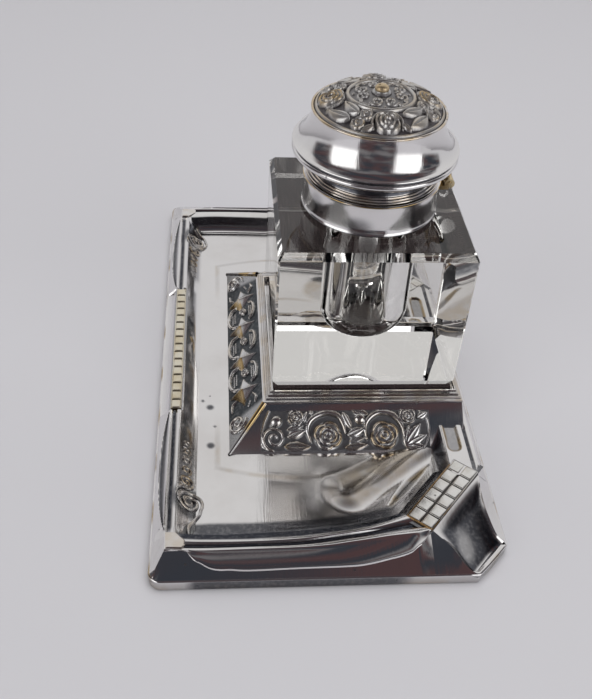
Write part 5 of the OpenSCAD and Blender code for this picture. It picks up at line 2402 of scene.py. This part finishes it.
@dataclass
class Studio:
    """Camera, table, lamps and the pale room with one dark side."""

    azimuth: float = 83.61
    elevation: float = 40.75
    roll: float = 4.0
    eye: Place = (246.0, -32.15, 218.3)
    focal: float = 902.2
    picture_height: float = 699.0
    table: Colour = (0.60, 0.595, 0.62)
    table_edge: float = 0.24

    def camera(self) -> None:
        """Sets the camera at its place and lens."""
        a, e, r = (math.radians(v) for v in (self.azimuth, self.elevation, self.roll))
        back = Vector((math.sin(a) * math.cos(e), -math.cos(a) * math.cos(e), math.sin(e)))
        right = Vector(UP).cross(back).normalized()
        up = back.cross(right)
        right, up = right * math.cos(r) + up * math.sin(r), up * math.cos(r) - right * math.sin(r)
        matrix = Matrix((right, up, back)).transposed().to_4x4()
        matrix.translation = Vector(self.eye) * MM
        data = bpy.data.cameras.new("camera")
        data.sensor_width = 36.0
        data.lens = 36.0 * self.focal / self.picture_height
        data.clip_start = 0.01
        camera = bpy.data.objects.new("camera", data)
        camera.matrix_world = matrix
        bpy.context.scene.collection.objects.link(camera)
        bpy.context.scene.camera = camera

    def floor(self) -> None:
        """Lays the pale table top; past its near part, metal and glass see the dark of the room instead."""
        deselect()
        bpy.ops.mesh.primitive_plane_add(size=8.0, location=(0, 0, 0))
        table = settle(fresh("table_top"))
        material, g, shader = new_material("pale_table")
        place = g.place()
        g.feed(shader.inputs["Base Color"], g.mix(g.noise(place, 3.0, 2.0), self.table, shaded(self.table)))
        shader.inputs["Roughness"].default_value = 0.6
        shader.inputs["Specular IOR Level"].default_value = 0.2
        rays = g.add("LightPath")
        bounced = g.math("MAXIMUM", rays.outputs["Is Glossy Ray"], rays.outputs["Is Transmission Ray"])
        x = g.add("SeparateXYZ", Vector=place).outputs["X"]
        past = g.remap(x, self.table_edge, self.table_edge + 0.001)
        g.show(g.math("MULTIPLY", bounced, past), shader, g.add("BsdfTransparent"))
        table.data.materials.append(material)

    def room(self) -> None:
        """Paints the room: pale all round, dark above the viewer's side, two tall soft windows."""
        world = bpy.data.worlds.new("room")
        bpy.context.scene.world = world
        world.use_nodes = True
        g = Graph(world.node_tree)
        paint = next(n for n in g.tree.nodes if n.type == "BACKGROUND")
        way = g.add("TexCoord").outputs["Generated"]
        a = math.radians(self.azimuth)
        front = (math.sin(a), -math.cos(a), 0.0)
        side = (math.cos(a), math.sin(a), 0.0)

        def part(axis: Sequence[float]) -> Socket:
            """How far the direction goes along an axis."""
            node = g.add("VectorMath", {"operation": "DOT_PRODUCT"}, in0=way, in1=tuple(axis))
            return node.outputs["Value"]

        ahead, across, up = part(front), part(side), part(UP)
        tilt = g.math("ARCTAN2", up, ahead)
        bearing = g.math("ARCTAN2", across, ahead)
        lift = g.math("ARCSINE", up)

        def window(value: Socket, low: float, high: float, soft: float) -> Socket:
            """One between two angles, zero outside."""
            low, high, soft = (math.radians(v) for v in (low, high, soft))
            rise = g.remap(value, low - soft, low + soft)
            fall = g.remap(value, high - soft, high + soft, 1.0, 0.0)
            return g.math("MULTIPLY", rise, fall)

        def both(one: Socket, two: Socket) -> Socket:
            """Where both hold."""
            return g.math("MULTIPLY", one, two)

        low = both(window(lift, 4.0, 52.0, 3.0), g.remap(ahead, -0.34, -0.2))
        low = g.math("MAXIMUM", low, both(window(lift, -40.0, 6.0, 2.0), g.remap(ahead, 0.25, 0.4)))
        high = both(window(tilt, 9.0, 115.0, 6.0), g.remap(g.math("ABSOLUTE", across), 0.62, 0.86, 1.0, 0.0))
        dark = g.math("MAXIMUM", low, high)
        streaks = g.add("Mapping", Vector=way, Scale=(1.2, 1.2, 5.0)).outputs[0]
        patch, hue = g.noise(streaks, 1.5, 4.0), g.noise(streaks, 2.4, 3.0)
        gloom = g.mix(g.remap(hue, 0.44, 0.56), (0.040, 0.045, 0.056), (0.085, 0.050, 0.052))
        gloom = g.mix(g.remap(patch, 0.50, 0.62), gloom, (0.18, 0.175, 0.18))
        pale = g.mix(g.remap(up, -0.1, 0.9), (0.62, 0.615, 0.63), (0.74, 0.735, 0.73))
        colour = g.mix(dark, pale, gloom)
        for start, end in ((30.0, 73.0), (-73.0, -30.0)):
            soft_box = both(window(bearing, start, end, 3.0), window(lift, 4.0, 41.0, 3.5))
            below = both(window(bearing, start, end, 1.2), window(lift, -40.0, 5.0, 1.5))
            colour = g.mix(below, colour, (0.66, 0.65, 0.68))
            colour = g.mix(soft_box, colour, (1.6, 1.6, 1.6))
        seen = g.add("LightPath").outputs["Is Camera Ray"]
        g.feed(paint.inputs["Color"], g.mix(seen, colour, self.table))
        paint.inputs["Strength"].default_value = 1.0

    def lamp(self, name: str, place: Sequence[float], size: float, watts: float) -> None:
        """Adds a soft lamp aimed at the inkstand.

        Args:
            name: Its name.
            place: Where it hangs, in metres.
            size: Side of its soft square.
            watts: Its power.
        """
        data = bpy.data.lights.new(name, "AREA")
        data.size = size
        data.energy = watts
        lamp = bpy.data.objects.new(name, data)
        lamp.location = place
        lamp.rotation_euler = (Vector((0, 0, 0.04)) - Vector(place)).to_track_quat("-Z", "Y").to_euler()
        lamp.visible_glossy = False
        bpy.context.scene.collection.objects.link(lamp)

    def build(self) -> None:
        """Sets up camera, table, room and lamps."""
        self.camera()
        self.floor()
        self.room()
        self.lamp("soft_top", (0.1, 0.1, 1.2), 1.2, 11.1)
        bpy.context.scene.view_settings.view_transform = "Standard"
        log.info("studio")


@dataclass
class Fittings:
    """The CAD nodes that keep their own mesh and get a finish."""

    plan: dict[str, str] = field(
        default_factory=lambda: {
            "base_board": "base_board", "base_felt": "base_felt", "board_screws": "brass_fitting",
            "seat_pad": "seat_cloth", "cement_ring": "plaster", "collar_knuckles": "brass_fitting",
            "hinge_pin": "brass_fitting", "lid_knuckle": "brass_fitting", "lid_plug": "silver_plate",
        }
    )

    def build(self, finishes: Finishes) -> None:
        """Dresses each node."""
        for node, finish in self.plan.items():
            finishes.dress(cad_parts[node], finish)
        log.info("fittings: %s", ", ".join(self.plan))


def main() -> None:
    """Builds the inkstand from the table up."""
    logging.basicConfig(level=logging.INFO, format="%(message)s")
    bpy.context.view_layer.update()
    Studio().build()
    finishes = Finishes()
    Fittings().build(finishes)
    front = FrontRim()
    tray = TrayPressing(front)
    tray.build(finishes)
    LadderBar().build(finishes)
    CornerBlock().build(finishes)
    TileBand(tray).build(finishes)
    ScrollRelief(front).build(finishes)
    Pedestal().build(finishes)
    GlassWell().build(finishes)
    Collar().build(finishes)
    Lid().build(finishes)


if __name__ == "__main__":
    main()
